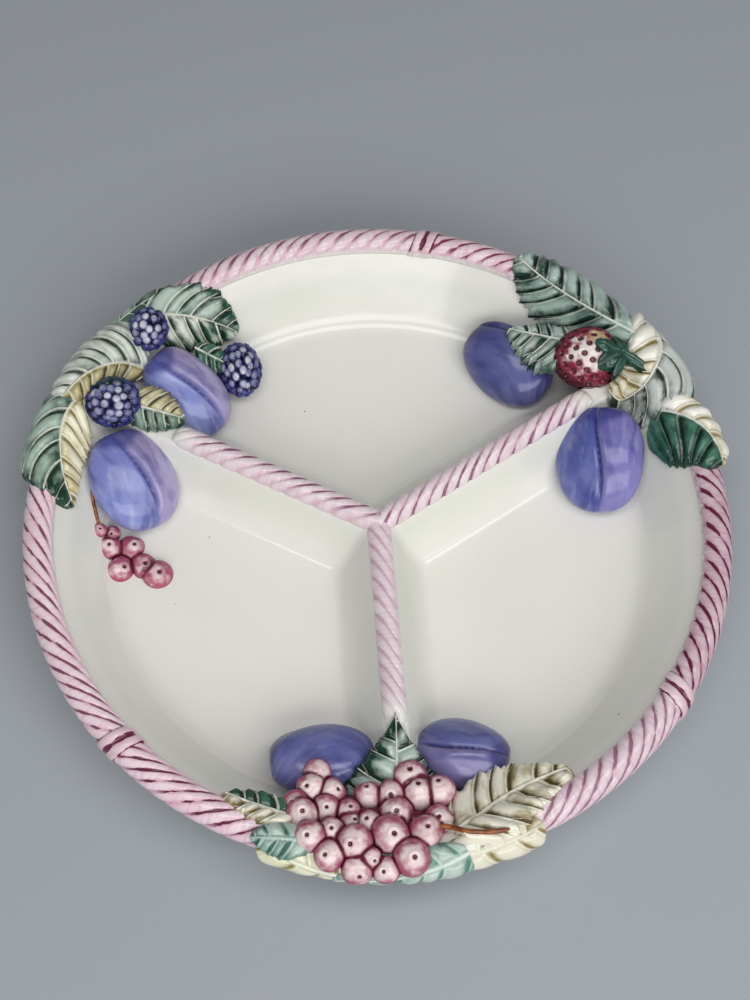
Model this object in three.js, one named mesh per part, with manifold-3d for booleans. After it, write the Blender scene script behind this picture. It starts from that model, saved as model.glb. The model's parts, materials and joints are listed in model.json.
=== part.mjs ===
// Three-part antipasto dish in glazed earthenware, with a rope rim and fruit sprays in relief.
// Millimetres, +Z up. The dish turns about the Z axis, stands on z = 0, and its front faces -Y.

import * as THREE from 'three';
import { mergeVertices } from 'three/addons/utils/BufferGeometryUtils.js';
import Module from 'manifold-3d';

const wasm = await Module();
wasm.setup();

const rad = THREE.MathUtils.degToRad;

// Dish body
const RIM_RADIUS = 152;
const RIM_HEIGHT = 34;
const BEAD_RADIUS = 5.5;
const WALL_SLOPE = rad(52);
const WALL_THICKNESS = 6.5;
const FLOOR_THICKNESS = 6.5;
const FLOOR_FILLET = 12;
const BASE_FILLET = 8;
const BODY_SEGMENTS = 64;
const CLEARANCE = 0.3;
const MERGE_DISTANCE = 1e-4;

// Dividing walls and the ropes on them
const DIVIDER_ANGLES = { right: rad(30), left: rad(150), front: rad(270) };
const DIVIDER_DROP = 3.5;
const DIVIDER_TOP_WIDTH = 10;
const DIVIDER_FOOT_WIDTH = 34;
const DIVIDER_FILLET = 8;
const DIVIDER_ROPE_WIDTH = 11;
const DIVIDER_ROPE_RISE = 5.5;
const DIVIDER_ROPE_STRAND = 6;
const DIVIDER_ROPE_STOP = { right: 38, left: 50, front: 58 };

// Rim rope and its bindings
const ROPE_INNER_EDGE = -10;
const ROPE_OUTER_EDGE = 20;
const ROPE_RISE = 3.4;
const ROPE_STRAND = 7.3;
const ROPE_TWIST = 0.72;
const ROPE_GROOVE = 0.35;
const ROPE_ROWS = 4;
const ROPE_EDGE = 0.14;
const ROPE_SEAT = 1.5 * CLEARANCE;
const BINDING_WRAP = 6;
const BINDING_RISE = 1.2;
const BINDING_ANGLES = { back: rad(76.7), left: rad(220.4), right: rad(321.9) };

// Sprays: the angle each is centred on, and how far it reaches along the rim to either side
const SPRAYS = {
  left: { angle: rad(146), from: -63, to: 64 },
  right: { angle: rad(33), from: -73, to: 70 },
  front: { angle: rad(270), from: -64, to: 62, mound: 0.6 },
};
const CHART_RADIUS = 11;
const WALL_RELIEF = 3;
const RIM_RELIEF = 9.5;
const LEAF_CROWN = 1.2;
const LEAF_ROOT = 1.5;
const LEAF_SERRATION = 0.1;
const LEAF_BELLY = 0.42;
const LEAF_TAPER = 0.7;
const LEAF_STALK = 0.04;
const LEAF_TIP = 0.98;
const LEAF_DROOP = 0.12;
const LEAF_COLUMNS = 9;
const LEAF_ROWS = 4;
const PERCHED_LEAF_THICKNESS = 5;
const PLUM_DEPTH = 13;
const PLUM_SEAM = 0.12;
const PLUM_SEAM_WIDTH = 0.2;
const DRUPELET_RISE = 0.14;
const DRUPELET_REACH = 0.6;
const CURRANT_SINK = 0.5;
const STEM_RADIUS = 1.3;
const TWIG_LIFT = 2.5;

const FLOOR_HEIGHT = FLOOR_THICKNESS;
const DIVIDER_TOP = RIM_HEIGHT - DIVIDER_DROP;
const DIVIDER_HEIGHT = DIVIDER_TOP - FLOOR_HEIGHT;
const WALL_START = -CHART_RADIUS * WALL_SLOPE;
const UP = new THREE.Vector3(0, 0, 1);

// Heights, measured from what carries the piece
const aboveFloor = (rise) => FLOOR_HEIGHT + rise;
const aboveRim = (rise) => RIM_HEIGHT + rise;
const aboveDivider = (rise) => DIVIDER_TOP + rise;

// Solids from three.js geometry

function solid(geometry) {
  const bare = new THREE.BufferGeometry();
  bare.setAttribute('position', geometry.getAttribute('position'));
  bare.setIndex(geometry.index);
  const merged = mergeVertices(bare, MERGE_DISTANCE);
  const position = merged.getAttribute('position');
  const corners = Array.from(merged.index.array);
  const kept = [];
  let volume = 0;
  const [a, b, c] = [new THREE.Vector3(), new THREE.Vector3(), new THREE.Vector3()];
  for (let i = 0; i < corners.length; i += 3) {
    const [p, q, r] = corners.slice(i, i + 3);
    if (p === q || q === r || r === p) continue;
    kept.push([p, q, r]);
    a.fromBufferAttribute(position, p);
    b.fromBufferAttribute(position, q);
    c.fromBufferAttribute(position, r);
    volume += a.dot(b.cross(c));
  }
  const outward = kept.map(([p, q, r]) => (volume > 0 ? [p, q, r] : [p, r, q]));
  const triVerts = Uint32Array.from(outward.flat());
  const vertProperties = Float32Array.from(position.array);
  return new wasm.Manifold(new wasm.Mesh({ numProp: 3, vertProperties, triVerts }));
}

function geometryOf(manifold) {
  const mesh = manifold.getMesh();
  const geometry = new THREE.BufferGeometry();
  geometry.setAttribute('position', new THREE.BufferAttribute(Float32Array.from(mesh.vertProperties), 3));
  geometry.setIndex(new THREE.BufferAttribute(Uint32Array.from(mesh.triVerts), 1));
  geometry.computeVertexNormals();
  return geometry;
}

function largest(manifold) {
  const bodies = manifold.decompose();
  return bodies.reduce((best, body) => (body.volume() > best.volume() ? body : best));
}

function cutBy(piece, cutters) {
  const cut = cutters.reduce((rest, cutter) => rest.subtract(cutter), piece);
  return largest(cut);
}

// A closed slab over a grid: point(u, v, side) gives the top skin for side 1 and the underside for side 0
function slab(columns, rows, point) {
  const positions = [];
  for (const side of [1, 0]) {
    for (let i = 0; i <= columns; i++) {
      for (let j = 0; j <= rows; j++) positions.push(...point(i / columns, j / rows, side).toArray());
    }
  }
  const at = (i, j, side) => ((1 - side) * (columns + 1) + i) * (rows + 1) + j;
  const index = [];
  const quad = (a, b, c, d) => index.push(a, b, c, a, c, d);
  for (let i = 0; i < columns; i++) {
    for (let j = 0; j < rows; j++) {
      quad(at(i, j, 1), at(i + 1, j, 1), at(i + 1, j + 1, 1), at(i, j + 1, 1));
      quad(at(i, j, 0), at(i, j + 1, 0), at(i + 1, j + 1, 0), at(i + 1, j, 0));
    }
    quad(at(i, 0, 0), at(i + 1, 0, 0), at(i + 1, 0, 1), at(i, 0, 1));
    quad(at(i, rows, 1), at(i + 1, rows, 1), at(i + 1, rows, 0), at(i, rows, 0));
  }
  for (let j = 0; j < rows; j++) {
    quad(at(0, j, 1), at(0, j + 1, 1), at(0, j + 1, 0), at(0, j, 0));
    quad(at(columns, j, 0), at(columns, j + 1, 0), at(columns, j + 1, 1), at(columns, j, 1));
  }
  const geometry = new THREE.BufferGeometry();
  geometry.setAttribute('position', new THREE.Float32BufferAttribute(positions, 3));
  geometry.setIndex(index);
  return solid(geometry);
}

// A wedge of space between two directions from the dish axis, held back by inset on both faces
function wedge(from, to, inset) {
  const far = 2 * RIM_RADIUS;
  const middle = (from + to) / 2;
  const shift = inset / Math.sin((to - from) / 2);
  const start = new THREE.Vector2(Math.cos(middle), Math.sin(middle)).multiplyScalar(shift);
  const shape = new THREE.Shape();
  shape.moveTo(start.x, start.y);
  for (const angle of [from, middle, to]) {
    shape.lineTo(start.x + far * Math.cos(angle), start.y + far * Math.sin(angle));
  }
  const geometry = new THREE.ExtrudeGeometry(shape, { depth: 4 * RIM_HEIGHT, bevelEnabled: false });
  geometry.translate(0, 0, -RIM_HEIGHT);
  return solid(geometry);
}

function tube(points, radius) {
  const shape = new THREE.Shape();
  shape.absarc(0, 0, radius, 0, 2 * Math.PI);
  const extrudePath = new THREE.CatmullRomCurve3(points);
  const steps = 2 * points.length;
  const options = { steps, curveSegments: 4, extrudePath, bevelEnabled: false };
  return solid(new THREE.ExtrudeGeometry(shape, options));
}

// Places on the dish

// Across the rim: y runs over the roll, positive outward, then straight down the inner wall
function sectionPoint(y, lift) {
  const downWall = Math.min(0, y - WALL_START);
  const phi = Math.PI / 2 - Math.max(y, WALL_START) / CHART_RADIUS;
  const reach = BEAD_RADIUS + lift;
  const r = RIM_RADIUS + reach * Math.cos(phi) + downWall * Math.cos(WALL_SLOPE);
  const z = RIM_HEIGHT + reach * Math.sin(phi) + downWall * Math.sin(WALL_SLOPE);
  return new THREE.Vector2(r, z);
}

function rimPoint(angle, x, y, lift) {
  const { x: r, y: z } = sectionPoint(y, lift);
  const turn = angle + x / RIM_RADIUS;
  return new THREE.Vector3(r * Math.cos(turn), r * Math.sin(turn), z);
}

// In plan: x along the rim from the spray's centre, inward from the rim circle, at height z
function planPoint(spray, [x, inward, z]) {
  const turn = SPRAYS[spray].angle + x / RIM_RADIUS;
  const r = RIM_RADIUS - inward;
  return new THREE.Vector3(r * Math.cos(turn), r * Math.sin(turn), z);
}

// Height of the leaf bed above the clay: thin on the wall, full over the rim
function relief(spray, y) {
  const rise = THREE.MathUtils.smoothstep(y, WALL_START, CHART_RADIUS * Math.PI / 2);
  const mound = (SPRAYS[spray].mound ?? 0) * Math.max(0, WALL_START - y);
  return WALL_RELIEF + (RIM_RELIEF - WALL_RELIEF) * rise + mound;
}

// Dish body

function bodySolid(grow = 0) {
  const bead = BEAD_RADIUS + grow;
  const floor = FLOOR_HEIGHT + grow;
  const fillet = FLOOR_FILLET - grow;
  const [sin, cos] = [Math.sin(WALL_SLOPE), Math.cos(WALL_SLOPE)];
  const wallNormal = Math.PI / 2 + WALL_SLOPE;
  const filletRise = floor + fillet - RIM_HEIGHT;
  const filletRadius = RIM_RADIUS - (bead + fillet - cos * filletRise) / sin;
  const behind = WALL_THICKNESS + 2 * grow - bead;
  const underBead = wallNormal + Math.acos(-behind / bead);
  const neckRadius = RIM_RADIUS + bead * Math.cos(underBead);
  const neckHeight = RIM_HEIGHT + bead * Math.sin(underBead);
  const cornerRadius = neckRadius - (neckHeight + grow) * cos / sin;
  const profile = new THREE.Path();
  profile.moveTo(0, -grow);
  profile.lineTo(cornerRadius - BASE_FILLET, -grow);
  const cornerEnd = [cornerRadius + BASE_FILLET * cos, BASE_FILLET * sin - grow];
  profile.quadraticCurveTo(cornerRadius, -grow, ...cornerEnd);
  profile.lineTo(neckRadius, neckHeight);
  profile.absarc(RIM_RADIUS, RIM_HEIGHT, bead, underBead - 2 * Math.PI, wallNormal, false);
  const filletEnd = wallNormal - Math.PI;
  profile.absarc(filletRadius, floor + fillet, fillet, filletEnd, -Math.PI / 2, true);
  profile.lineTo(0, floor);
  const geometry = new THREE.LatheGeometry(profile.getPoints(3), BODY_SEGMENTS);
  geometry.rotateX(Math.PI / 2);
  return solid(geometry);
}

// Dividing walls

function dividerSolid(angle, grow = 0) {
  const foot = FLOOR_HEIGHT + CLEARANCE - 2 * grow;
  const edge = FLOOR_HEIGHT + 3 * CLEARANCE + grow;
  const top = DIVIDER_TOP + grow;
  const topHalf = DIVIDER_TOP_WIDTH / 2 + grow;
  const footHalf = DIVIDER_FOOT_WIDTH / 2 + grow;
  const slope = (DIVIDER_FOOT_WIDTH - DIVIDER_TOP_WIDTH) / 2 / DIVIDER_HEIGHT;
  const shape = new THREE.Shape();
  shape.moveTo(footHalf + DIVIDER_FILLET, foot);
  shape.lineTo(footHalf + DIVIDER_FILLET, edge);
  shape.quadraticCurveTo(footHalf, edge, footHalf - slope * DIVIDER_FILLET, edge + DIVIDER_FILLET);
  shape.lineTo(topHalf, top);
  shape.lineTo(-topHalf, top);
  shape.lineTo(slope * DIVIDER_FILLET - footHalf, edge + DIVIDER_FILLET);
  shape.quadraticCurveTo(-footHalf, edge, -footHalf - DIVIDER_FILLET, edge);
  shape.lineTo(-footHalf - DIVIDER_FILLET, foot);
  const depth = RIM_RADIUS - WALL_THICKNESS;
  const geometry = new THREE.ExtrudeGeometry(shape, { depth, curveSegments: 4, bevelEnabled: false });
  geometry.rotateX(Math.PI / 2);
  geometry.rotateZ(angle - rad(270));
  return solid(geometry).intersect(wedge(angle - rad(60), angle + rad(60), CLEARANCE / 2 - grow));
}

function dividerRope(angle, stop, grow = 0) {
  const length = RIM_RADIUS - stop;
  const half = DIVIDER_ROPE_WIDTH / 2;
  const columns = 2 * Math.round((length + half) / DIVIDER_ROPE_STRAND);
  const radial = new THREE.Vector3(Math.cos(angle), Math.sin(angle), 0);
  const side = new THREE.Vector3(-Math.sin(angle), Math.cos(angle), 0);
  const rope = slab(columns, 4, (u, v, top) => {
    const across = Math.sin((v - 0.5) * Math.PI);
    const groove = Math.round(u * columns) % 2 ? 1 - ROPE_GROOVE / 2 : 1;
    const round = Math.max(ROPE_EDGE, Math.sqrt(Math.max(0, 1 - across * across)));
    const rise = top ? DIVIDER_ROPE_RISE * round * groove + grow : -grow;
    const along = u * (length + half) - half + ROPE_TWIST * across * half;
    const point = radial.clone().multiplyScalar(along + (u > 0.5 ? grow : -grow));
    point.addScaledVector(side, across * (half + grow));
    point.z = DIVIDER_TOP + CLEARANCE + rise;
    return point;
  });
  return largest(rope.intersect(wedge(angle - rad(60), angle + rad(60), CLEARANCE / 2 - grow)));
}

// Rim rope

function ropeHeight(y) {
  const middle = (ROPE_INNER_EDGE + ROPE_OUTER_EDGE) / 2;
  const half = (ROPE_OUTER_EDGE - ROPE_INNER_EDGE) / 2;
  const across = (y - middle) / half;
  return ROPE_SEAT + ROPE_RISE * Math.max(ROPE_EDGE, Math.sqrt(Math.max(0, 1 - across * across)));
}

function rimRope(from, to) {
  const skew = ROPE_TWIST * (ROPE_OUTER_EDGE - ROPE_INNER_EDGE);
  const length = (to - from) * RIM_RADIUS + 2 * skew;
  const columns = 2 * Math.round(length / ROPE_STRAND);
  const rope = slab(columns, ROPE_ROWS, (u, v, top) => {
    const y = ROPE_INNER_EDGE + v * (ROPE_OUTER_EDGE - ROPE_INNER_EDGE);
    const x = u * length - skew / 2 - ROPE_TWIST * y;
    const groove = Math.round(u * columns) % 2 ? 1 - ROPE_GROOVE : 1;
    return rimPoint(from, x, y, top ? ROPE_SEAT + (ropeHeight(y) - ROPE_SEAT) * groove : ROPE_SEAT);
  });
  return largest(rope.intersect(wedge(from, to, CLEARANCE / 2)));
}

function binding(angle) {
  return slab(8, ROPE_ROWS, (u, v, top) => {
    const y = ROPE_INNER_EDGE + v * (ROPE_OUTER_EDGE - ROPE_INNER_EDGE);
    const wrap = Math.abs(Math.sin(2 * Math.PI * u));
    const x = (u - 0.5) * 2 * BINDING_WRAP;
    return rimPoint(angle, x, y, top ? ropeHeight(y) + BINDING_RISE * wrap : ROPE_SEAT);
  });
}

// Leaves

// Half width at u along the midrib: fullest at the belly, sharper toward the tip for a larger taper
function leafHalfWidth(u, width, { belly = LEAF_BELLY, taper = LEAF_TAPER }) {
  const bend = Math.log(0.5) / Math.log(belly);
  const along = THREE.MathUtils.lerp(LEAF_STALK, LEAF_TIP, u);
  const outline = Math.pow(Math.sin(Math.PI * Math.pow(along, bend)), taper);
  const tooth = Math.round(u * LEAF_COLUMNS) % 2 ? 0 : LEAF_SERRATION;
  return width * outline * (1 - tooth);
}

// A leaf lying on the rim or wall; base, bend and tip are [x, y] on the rim
function rimLeaf(spec, grow = 0) {
  const { spray, base, bend, tip, left, right, lift = 0 } = spec;
  const [start, control, end] = [base, bend, tip].map((p) => new THREE.Vector2(...p));
  const midrib = new THREE.QuadraticBezierCurve(start, control, end);
  return slab(LEAF_COLUMNS, LEAF_ROWS, (u, v, top) => {
    const place = midrib.getPoint(u);
    const run = midrib.getTangent(u);
    const across = 2 * v - 1;
    const half = across * (leafHalfWidth(u, across > 0 ? left : right, spec) + grow);
    const stretch = grow * (2 * u - 1);
    const x = place.x + run.x * stretch - run.y * half;
    const y = place.y + run.y * stretch + run.x * half;
    const crown = LEAF_CROWN * (1 - 2 * across * across);
    const height = top ? relief(spray, y) + lift + crown + grow : -LEAF_ROOT;
    return rimPoint(SPRAYS[spray].angle, x, y, height);
  });
}

// A leaf perched on fruit or a divider, from base to tip
function perchedLeaf(spec) {
  const { spray, base, tip, left, right } = spec;
  const [start, end] = [planPoint(spray, base), planPoint(spray, tip)];
  const run = end.clone().sub(start);
  const side = new THREE.Vector3().crossVectors(UP, run).normalize();
  return slab(LEAF_COLUMNS, LEAF_ROWS, (u, v, top) => {
    const across = 2 * v - 1;
    const half = across * leafHalfWidth(u, across > 0 ? left : right, spec);
    const droop = LEAF_DROOP * half * across;
    const point = start.clone().addScaledVector(run, u).addScaledVector(side, half);
    point.z += LEAF_CROWN - Math.abs(droop) - (top ? 0 : PERCHED_LEAF_THICKNESS);
    return point;
  });
}

// Fruit

function ball(radii, columns, rows) {
  const geometry = new THREE.SphereGeometry(1, columns, rows);
  geometry.scale(...radii);
  return geometry;
}

// A plum lying from head to tail, with a seam along its upper side
function plum({ spray, head, tail, width, lean }, grow = 0) {
  const high = planPoint(spray, head);
  const low = planPoint(spray, tail);
  const centre = high.clone().add(low).divideScalar(2);
  const long = high.clone().sub(low);
  const geometry = ball([1, 1, 1], 16, 8);
  const position = geometry.getAttribute('position');
  for (let i = 0; i < position.count; i++) {
    const offSeam = position.getY(i) / PLUM_SEAM_WIDTH;
    const seam = position.getZ(i) > 0 ? PLUM_SEAM * Math.exp(-offSeam * offSeam) : 0;
    position.setZ(i, position.getZ(i) * (1 - seam));
  }
  geometry.scale(long.length() / 2 + grow, width / 2 + grow, PLUM_DEPTH + grow);
  const inward = new THREE.Vector3(-centre.x, -centre.y, 0).normalize();
  const along = long.normalize();
  const out = UP.clone().addScaledVector(inward, lean);
  out.addScaledVector(along, -out.dot(along)).normalize();
  const wide = new THREE.Vector3().crossVectors(out, along);
  geometry.applyMatrix4(new THREE.Matrix4().makeBasis(along, wide, out).setPosition(centre));
  return solid(geometry);
}

// Bead-like drupelets on a spiral over an egg-shaped core, its first radius along the heading
function bramble({ spray, at, radii, heading, drupelets }, grow = 0) {
  const centres = [];
  const golden = Math.PI * (3 - Math.sqrt(5));
  for (let k = 0; k < drupelets; k++) {
    const z = 1 - 2 * (k + 0.5) / drupelets;
    const ring = Math.sqrt(1 - z * z);
    centres.push(new THREE.Vector3(ring * Math.cos(k * golden), ring * Math.sin(k * golden), z));
  }
  const reach = DRUPELET_REACH * Math.sqrt(4 * Math.PI / drupelets);
  const core = new THREE.IcosahedronGeometry(1, 3);
  core.deleteAttribute('normal');
  core.deleteAttribute('uv');
  const geometry = mergeVertices(core);
  const position = geometry.getAttribute('position');
  const place = new THREE.Vector3();
  for (let i = 0; i < position.count; i++) {
    place.fromBufferAttribute(position, i).normalize();
    const nearest = Math.min(...centres.map((centre) => centre.angleTo(place)));
    const bump = Math.sqrt(Math.max(0, 1 - Math.pow(nearest / reach, 2)));
    place.multiplyScalar(1 - DRUPELET_RISE * (1 - bump));
    position.setXYZ(i, place.x, place.y, place.z);
  }
  geometry.scale(...radii.map((radius) => radius + grow));
  geometry.rotateZ(heading);
  const centre = planPoint(spray, at);
  geometry.translate(centre.x, centre.y, centre.z);
  return solid(geometry);
}

// Turned about its length: blunt shoulders, then a taper to the tip
function strawberry({ spray, at, length, width, heading, outline }, grow = 0) {
  const profile = new THREE.SplineCurve([
    new THREE.Vector2(0, -length / 2 - grow),
    ...outline.map(([out, along]) => new THREE.Vector2(width * out + grow, length * along)),
    new THREE.Vector2(0, length / 2 + grow),
  ]);
  const points = profile.getPoints(8);
  points.forEach((point) => point.setX(Math.max(0, point.x)));
  const geometry = new THREE.LatheGeometry(points, 16);
  geometry.rotateZ(-Math.PI / 2);
  geometry.rotateZ(heading);
  const centre = planPoint(spray, at);
  geometry.translate(centre.x, centre.y, centre.z);
  return solid(geometry);
}

function calyx({ spray, at, sepals, inner, thickness, heading, tilt }) {
  const shape = new THREE.Shape();
  sepals.forEach(([angle, reach], i) => {
    const next = sepals[(i + 1) % sepals.length];
    const between = angle + THREE.MathUtils.euclideanModulo(next[0] - angle, 360) / 2;
    const point = [reach * Math.cos(rad(angle)), reach * Math.sin(rad(angle))];
    if (i === 0) shape.moveTo(...point);
    else shape.lineTo(...point);
    shape.lineTo(inner * Math.cos(rad(between)), inner * Math.sin(rad(between)));
  });
  const geometry = new THREE.ExtrudeGeometry(shape, { depth: thickness, bevelEnabled: false });
  geometry.rotateY(tilt);
  geometry.rotateZ(heading);
  const centre = planPoint(spray, at);
  geometry.translate(centre.x, centre.y, centre.z);
  return solid(geometry);
}

// Currants in rows across the rim, half sunk in beds of clay on the wall and over the rim
function currantBunch({ spray, rows, beds }, grow = 0) {
  const { angle } = SPRAYS[spray];
  const clay = beds.map(({ at, radii }) => {
    const bed = ball(radii.map((radius) => radius + grow), 12, 6);
    bed.rotateZ(angle + rad(90) + at[0] / RIM_RADIUS);
    const middle = planPoint(spray, at);
    return bed.translate(middle.x, middle.y, middle.z);
  });
  const currants = rows.flatMap(({ y, berries }) => berries.map(([x, radius]) => {
    const size = radius + grow;
    const centre = rimPoint(angle, x, y, relief(spray, y) - CURRANT_SINK);
    return ball([size, size, size], 8, 4).translate(centre.x, centre.y, centre.z);
  }));
  return [...clay, ...currants].map(solid).reduce((bunch, part) => bunch.add(part));
}

// Flat currants on the floor and on the foot of the wall
function floorSprig({ spray, berries, flat }) {
  const parts = berries.map(([place, radius]) => {
    const berry = ball([radius, radius, radius * flat], 8, 5);
    const centre = planPoint(spray, place);
    berry.translate(centre.x, centre.y, centre.z);
    return solid(berry);
  });
  return parts.reduce((sum, part) => sum.add(part));
}

// What grows where

const PLUMS = {
  left: {
    back: { head: [-24, 13, aboveRim(0)], tail: [-24, 56, aboveFloor(5)], width: 34, lean: 0.4 },
    front: { head: [24, 19, aboveRim(-4)], tail: [70, 48, aboveFloor(5)], width: 42, lean: 0.4 },
  },
  right: {
    back: { head: [80, 30, aboveFloor(9.5)], tail: [17, 40, aboveFloor(10)], width: 36, lean: 0.6 },
    front: { head: [-18, 27, aboveRim(-4)], tail: [-76, 47, aboveFloor(5)], width: 43, lean: 0.4 },
  },
  front: {
    left: { head: [-73, 31, aboveFloor(13.5)], tail: [-13, 47, aboveFloor(11)], width: 34, lean: 0.6 },
    right: { head: [60, 27, aboveFloor(15.5)], tail: [13, 50, aboveFloor(11)], width: 36, lean: 0.6 },
  },
};

// In each spray a later leaf overlaps an earlier one
const RIM_LEAVES = {
  left: {
    outer: { base: [-40, 0], bend: [-32, 2], tip: [-22, 9], left: 9, right: 8 },
    middle: { base: [-15, -20], bend: [-4, 2], tip: [24, 4], left: 22, right: 12 },
    back: { base: [-35, -1], bend: [-52, -11], tip: [-75, -36], left: 15, right: 21, lift: 0.6 },
    front: { base: [18, -2], bend: [43, 6], tip: [71, -20], left: 23, right: 18, lift: 0.6 },
  },
  right: {
    middle: { base: [4, 14], bend: [-36, -6], tip: [-5, -33], left: 16, right: 23 },
    back: { base: [5, 0], bend: [43, -11], tip: [72, 4], left: 24, right: 20, lift: 0.6 },
    front: { base: [-33, -20], bend: [-46, 8], tip: [-76, 8], left: 26, right: 16, belly: 0.36, lift: 0.6 },
  },
  front: {
    low_left: { base: [-20, 12], bend: [-40, 14], tip: [-62, 9], left: 8, right: 9 },
    low_middle: { base: [21, 6], bend: [0, 14], tip: [-24, 15], left: 9, right: 12 },
    low_right: { base: [22, 8], bend: [36, 8], tip: [54, 7], left: 12, right: 6 },
    left_blue: { base: [-40, 0], bend: [-50, 0], tip: [-62, 6], left: 7, right: 8, lift: 0.4 },
    left: { base: [-49, -12], bend: [-64, -12], tip: [-81, -11], left: 8, right: 9, lift: 0.6 },
    right: { base: [22, -4], bend: [44, -24], tip: [79, -12], left: 18, right: 11, belly: 0.34, lift: 0.8 },
  },
};

const PERCHED_LEAVES = {
  left: {
    divider: { base: [10, 24, aboveRim(3)], tip: [1, 48, aboveDivider(4.5)], left: 8, right: 10 },
    berry: { base: [-48, 22, aboveRim(-7)], tip: [-57, 36, aboveFloor(12.5)], left: 7, right: 7 },
  },
  right: {
    fruit: { base: [26, 20, aboveRim(3)], tip: [58, 30, aboveFloor(25.5)], left: 17, right: 10 },
  },
  front: {
    divider: {
      base: [0, 24, aboveRim(7)],
      tip: [0, 58, aboveDivider(6.5)],
      left: 21,
      right: 21,
      belly: 0.22,
      taper: 1,
    },
  },
};

const BRAMBLES = {
  left: {
    back: { at: [-31, 6, aboveRim(9)], radii: [11, 9.5, 9], heading: rad(90), drupelets: 34 },
    middle: { at: [12, 15, aboveRim(4)], radii: [12.5, 13, 11], heading: rad(90), drupelets: 42 },
    inner: { at: [-62.5, 40, aboveFloor(10.5)], radii: [14.4, 10.5, 10], heading: rad(93), drupelets: 38 },
  },
};

const STRAWBERRY = {
  spray: 'right',
  at: [11, 20, aboveRim(1)],
  length: 31,
  width: 29,
  heading: rad(175),
  outline: [[0.36, -0.4], [0.5, -0.12], [0.4, 0.22], [0.18, 0.44]],
};
const CALYX = {
  spray: 'right',
  at: [1, 16, aboveRim(8)],
  sepals: [[0, 23], [60, 13], [125, 10], [210, 11], [290, 13]],
  inner: 6,
  thickness: 2.5,
  heading: rad(-30),
  tilt: rad(14),
};

const CURRANT_BUNCH = {
  spray: 'front',
  beds: [
    { at: [-14, 16, aboveRim(-6)], radii: [33, 20, 9] },
    { at: [-14, 2, aboveRim(3)], radii: [28, 13, 7] },
  ],
  rows: [
    { y: 9, berries: [[-20, 6], [-9, 5.5]] },
    { y: 5, berries: [[-31, 6], [-15, 4.5], [1, 7]] },
    { y: -1, berries: [[-40, 6], [-22, 7]] },
    { y: -6, berries: [[-32, 5.5], [-7, 7.5], [8, 6.5]] },
    { y: -14, berries: [[-46, 6.5], [-16, 5.5], [15, 5.5]] },
    { y: -18, berries: [[-36, 5.5], [-26, 5], [-4, 6.5]] },
    { y: -25, berries: [[-45, 6], [-35, 5.5], [-17, 5.5], [-6, 6], [8, 7], [18, 6.5]] },
    { y: -33, berries: [[-44, 6], [6, 5.5]] },
  ],
};
const TWIG = { spray: 'front', points: [[12, -6], [18, -4], [25, 0], [33, 2], [41, 3]] };

const SPRIG = {
  spray: 'left',
  flat: 0.75,
  berries: [
    [[75, 28, aboveFloor(3)], 4],
    [[83, 27, aboveFloor(2)], 6.2],
    [[82, 37, aboveFloor(0)], 6.2],
    [[96, 32, aboveFloor(0)], 6.6],
    [[95, 43, aboveFloor(0)], 6.2],
    [[102, 49, aboveFloor(0)], 7],
  ],
};
const SPRIG_STEM = { spray: 'left', points: [[54, -29], [61, -31], [67, -34], [71, -38]] };

// Colours of the glazes
const CREAM = { color: 0xf1efe4, roughness: 0.12 };
const PINK = { color: 0xe3b6bf, roughness: 0.16 };
const ROSE = { color: 0xb86a80, roughness: 0.16 };
const PLUM_BLUE = { color: 0x6f74b4, roughness: 0.14 };
const BERRY_BLUE = { color: 0x2c2a63, roughness: 0.14 };
const CURRANT = { color: 0xc98593, roughness: 0.14 };
const STRAWBERRY_RED = { color: 0xa63c4e, roughness: 0.14 };
const GREEN = { color: 0x5c7f6c, roughness: 0.16 };
const SAGE = { color: 0xa9b7a2, roughness: 0.16 };
const IVORY = { color: 0xd9d5b0, roughness: 0.16 };
const BROWN = { color: 0x7c4a2a, roughness: 0.2 };
const LEAF_GLAZES = { middle: SAGE, low_left: IVORY, low_right: IVORY, front_right: IVORY };

const dish = new THREE.Group();

// Turns a table of pieces by spray into a list of piece names and their measures
function named(kind, table) {
  return Object.entries(table).flatMap(([spray, pieces]) => (
    Object.entries(pieces).map(([part, spec]) => [`${kind}_${spray}_${part}`, { spray, ...spec }])
  ));
}

function addPiece(name, manifold, glaze) {
  const material = new THREE.MeshStandardMaterial({ ...glaze, metalness: 0 });
  const mesh = new THREE.Mesh(geometryOf(manifold), material);
  mesh.name = name;
  dish.add(mesh);
}

function leafGlaze(name) {
  const key = Object.keys(LEAF_GLAZES).find((part) => name.endsWith(part));
  return key ? LEAF_GLAZES[key] : GREEN;
}

// Body and dividers

addPiece('dish_body', bodySolid(), CREAM);
const bodyCutter = bodySolid(CLEARANCE);
const groundCutters = [bodyCutter];
for (const [name, angle] of Object.entries(DIVIDER_ANGLES)) {
  const stop = DIVIDER_ROPE_STOP[name];
  addPiece(`divider_wall_${name}`, cutBy(dividerSolid(angle), [bodyCutter]), CREAM);
  addPiece(`divider_rope_${name}`, dividerRope(angle, stop), PINK);
  groundCutters.push(dividerSolid(angle, CLEARANCE), dividerRope(angle, stop, CLEARANCE));
}

// Plums lie against the body and the dividers

const plumCutters = [];
for (const [name, spec] of named('plum', PLUMS)) {
  addPiece(name, cutBy(plum(spec), groundCutters), PLUM_BLUE);
  plumCutters.push(plum(spec, CLEARANCE));
}

// Leaves on the rim: each is trimmed by the fruit and by the leaves that overlap it

const rimLeaves = named('leaf', RIM_LEAVES);
const leafCutters = rimLeaves.map(([, spec]) => rimLeaf(spec, CLEARANCE).add(rimLeaf(spec)));
rimLeaves.forEach(([name, spec], i) => {
  const over = leafCutters.slice(i + 1);
  const leaf = cutBy(rimLeaf(spec), [...groundCutters, ...plumCutters, ...over]);
  addPiece(name, leaf, leafGlaze(name));
});

// Rim ropes run from spray to spray and stop at their bindings

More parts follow.
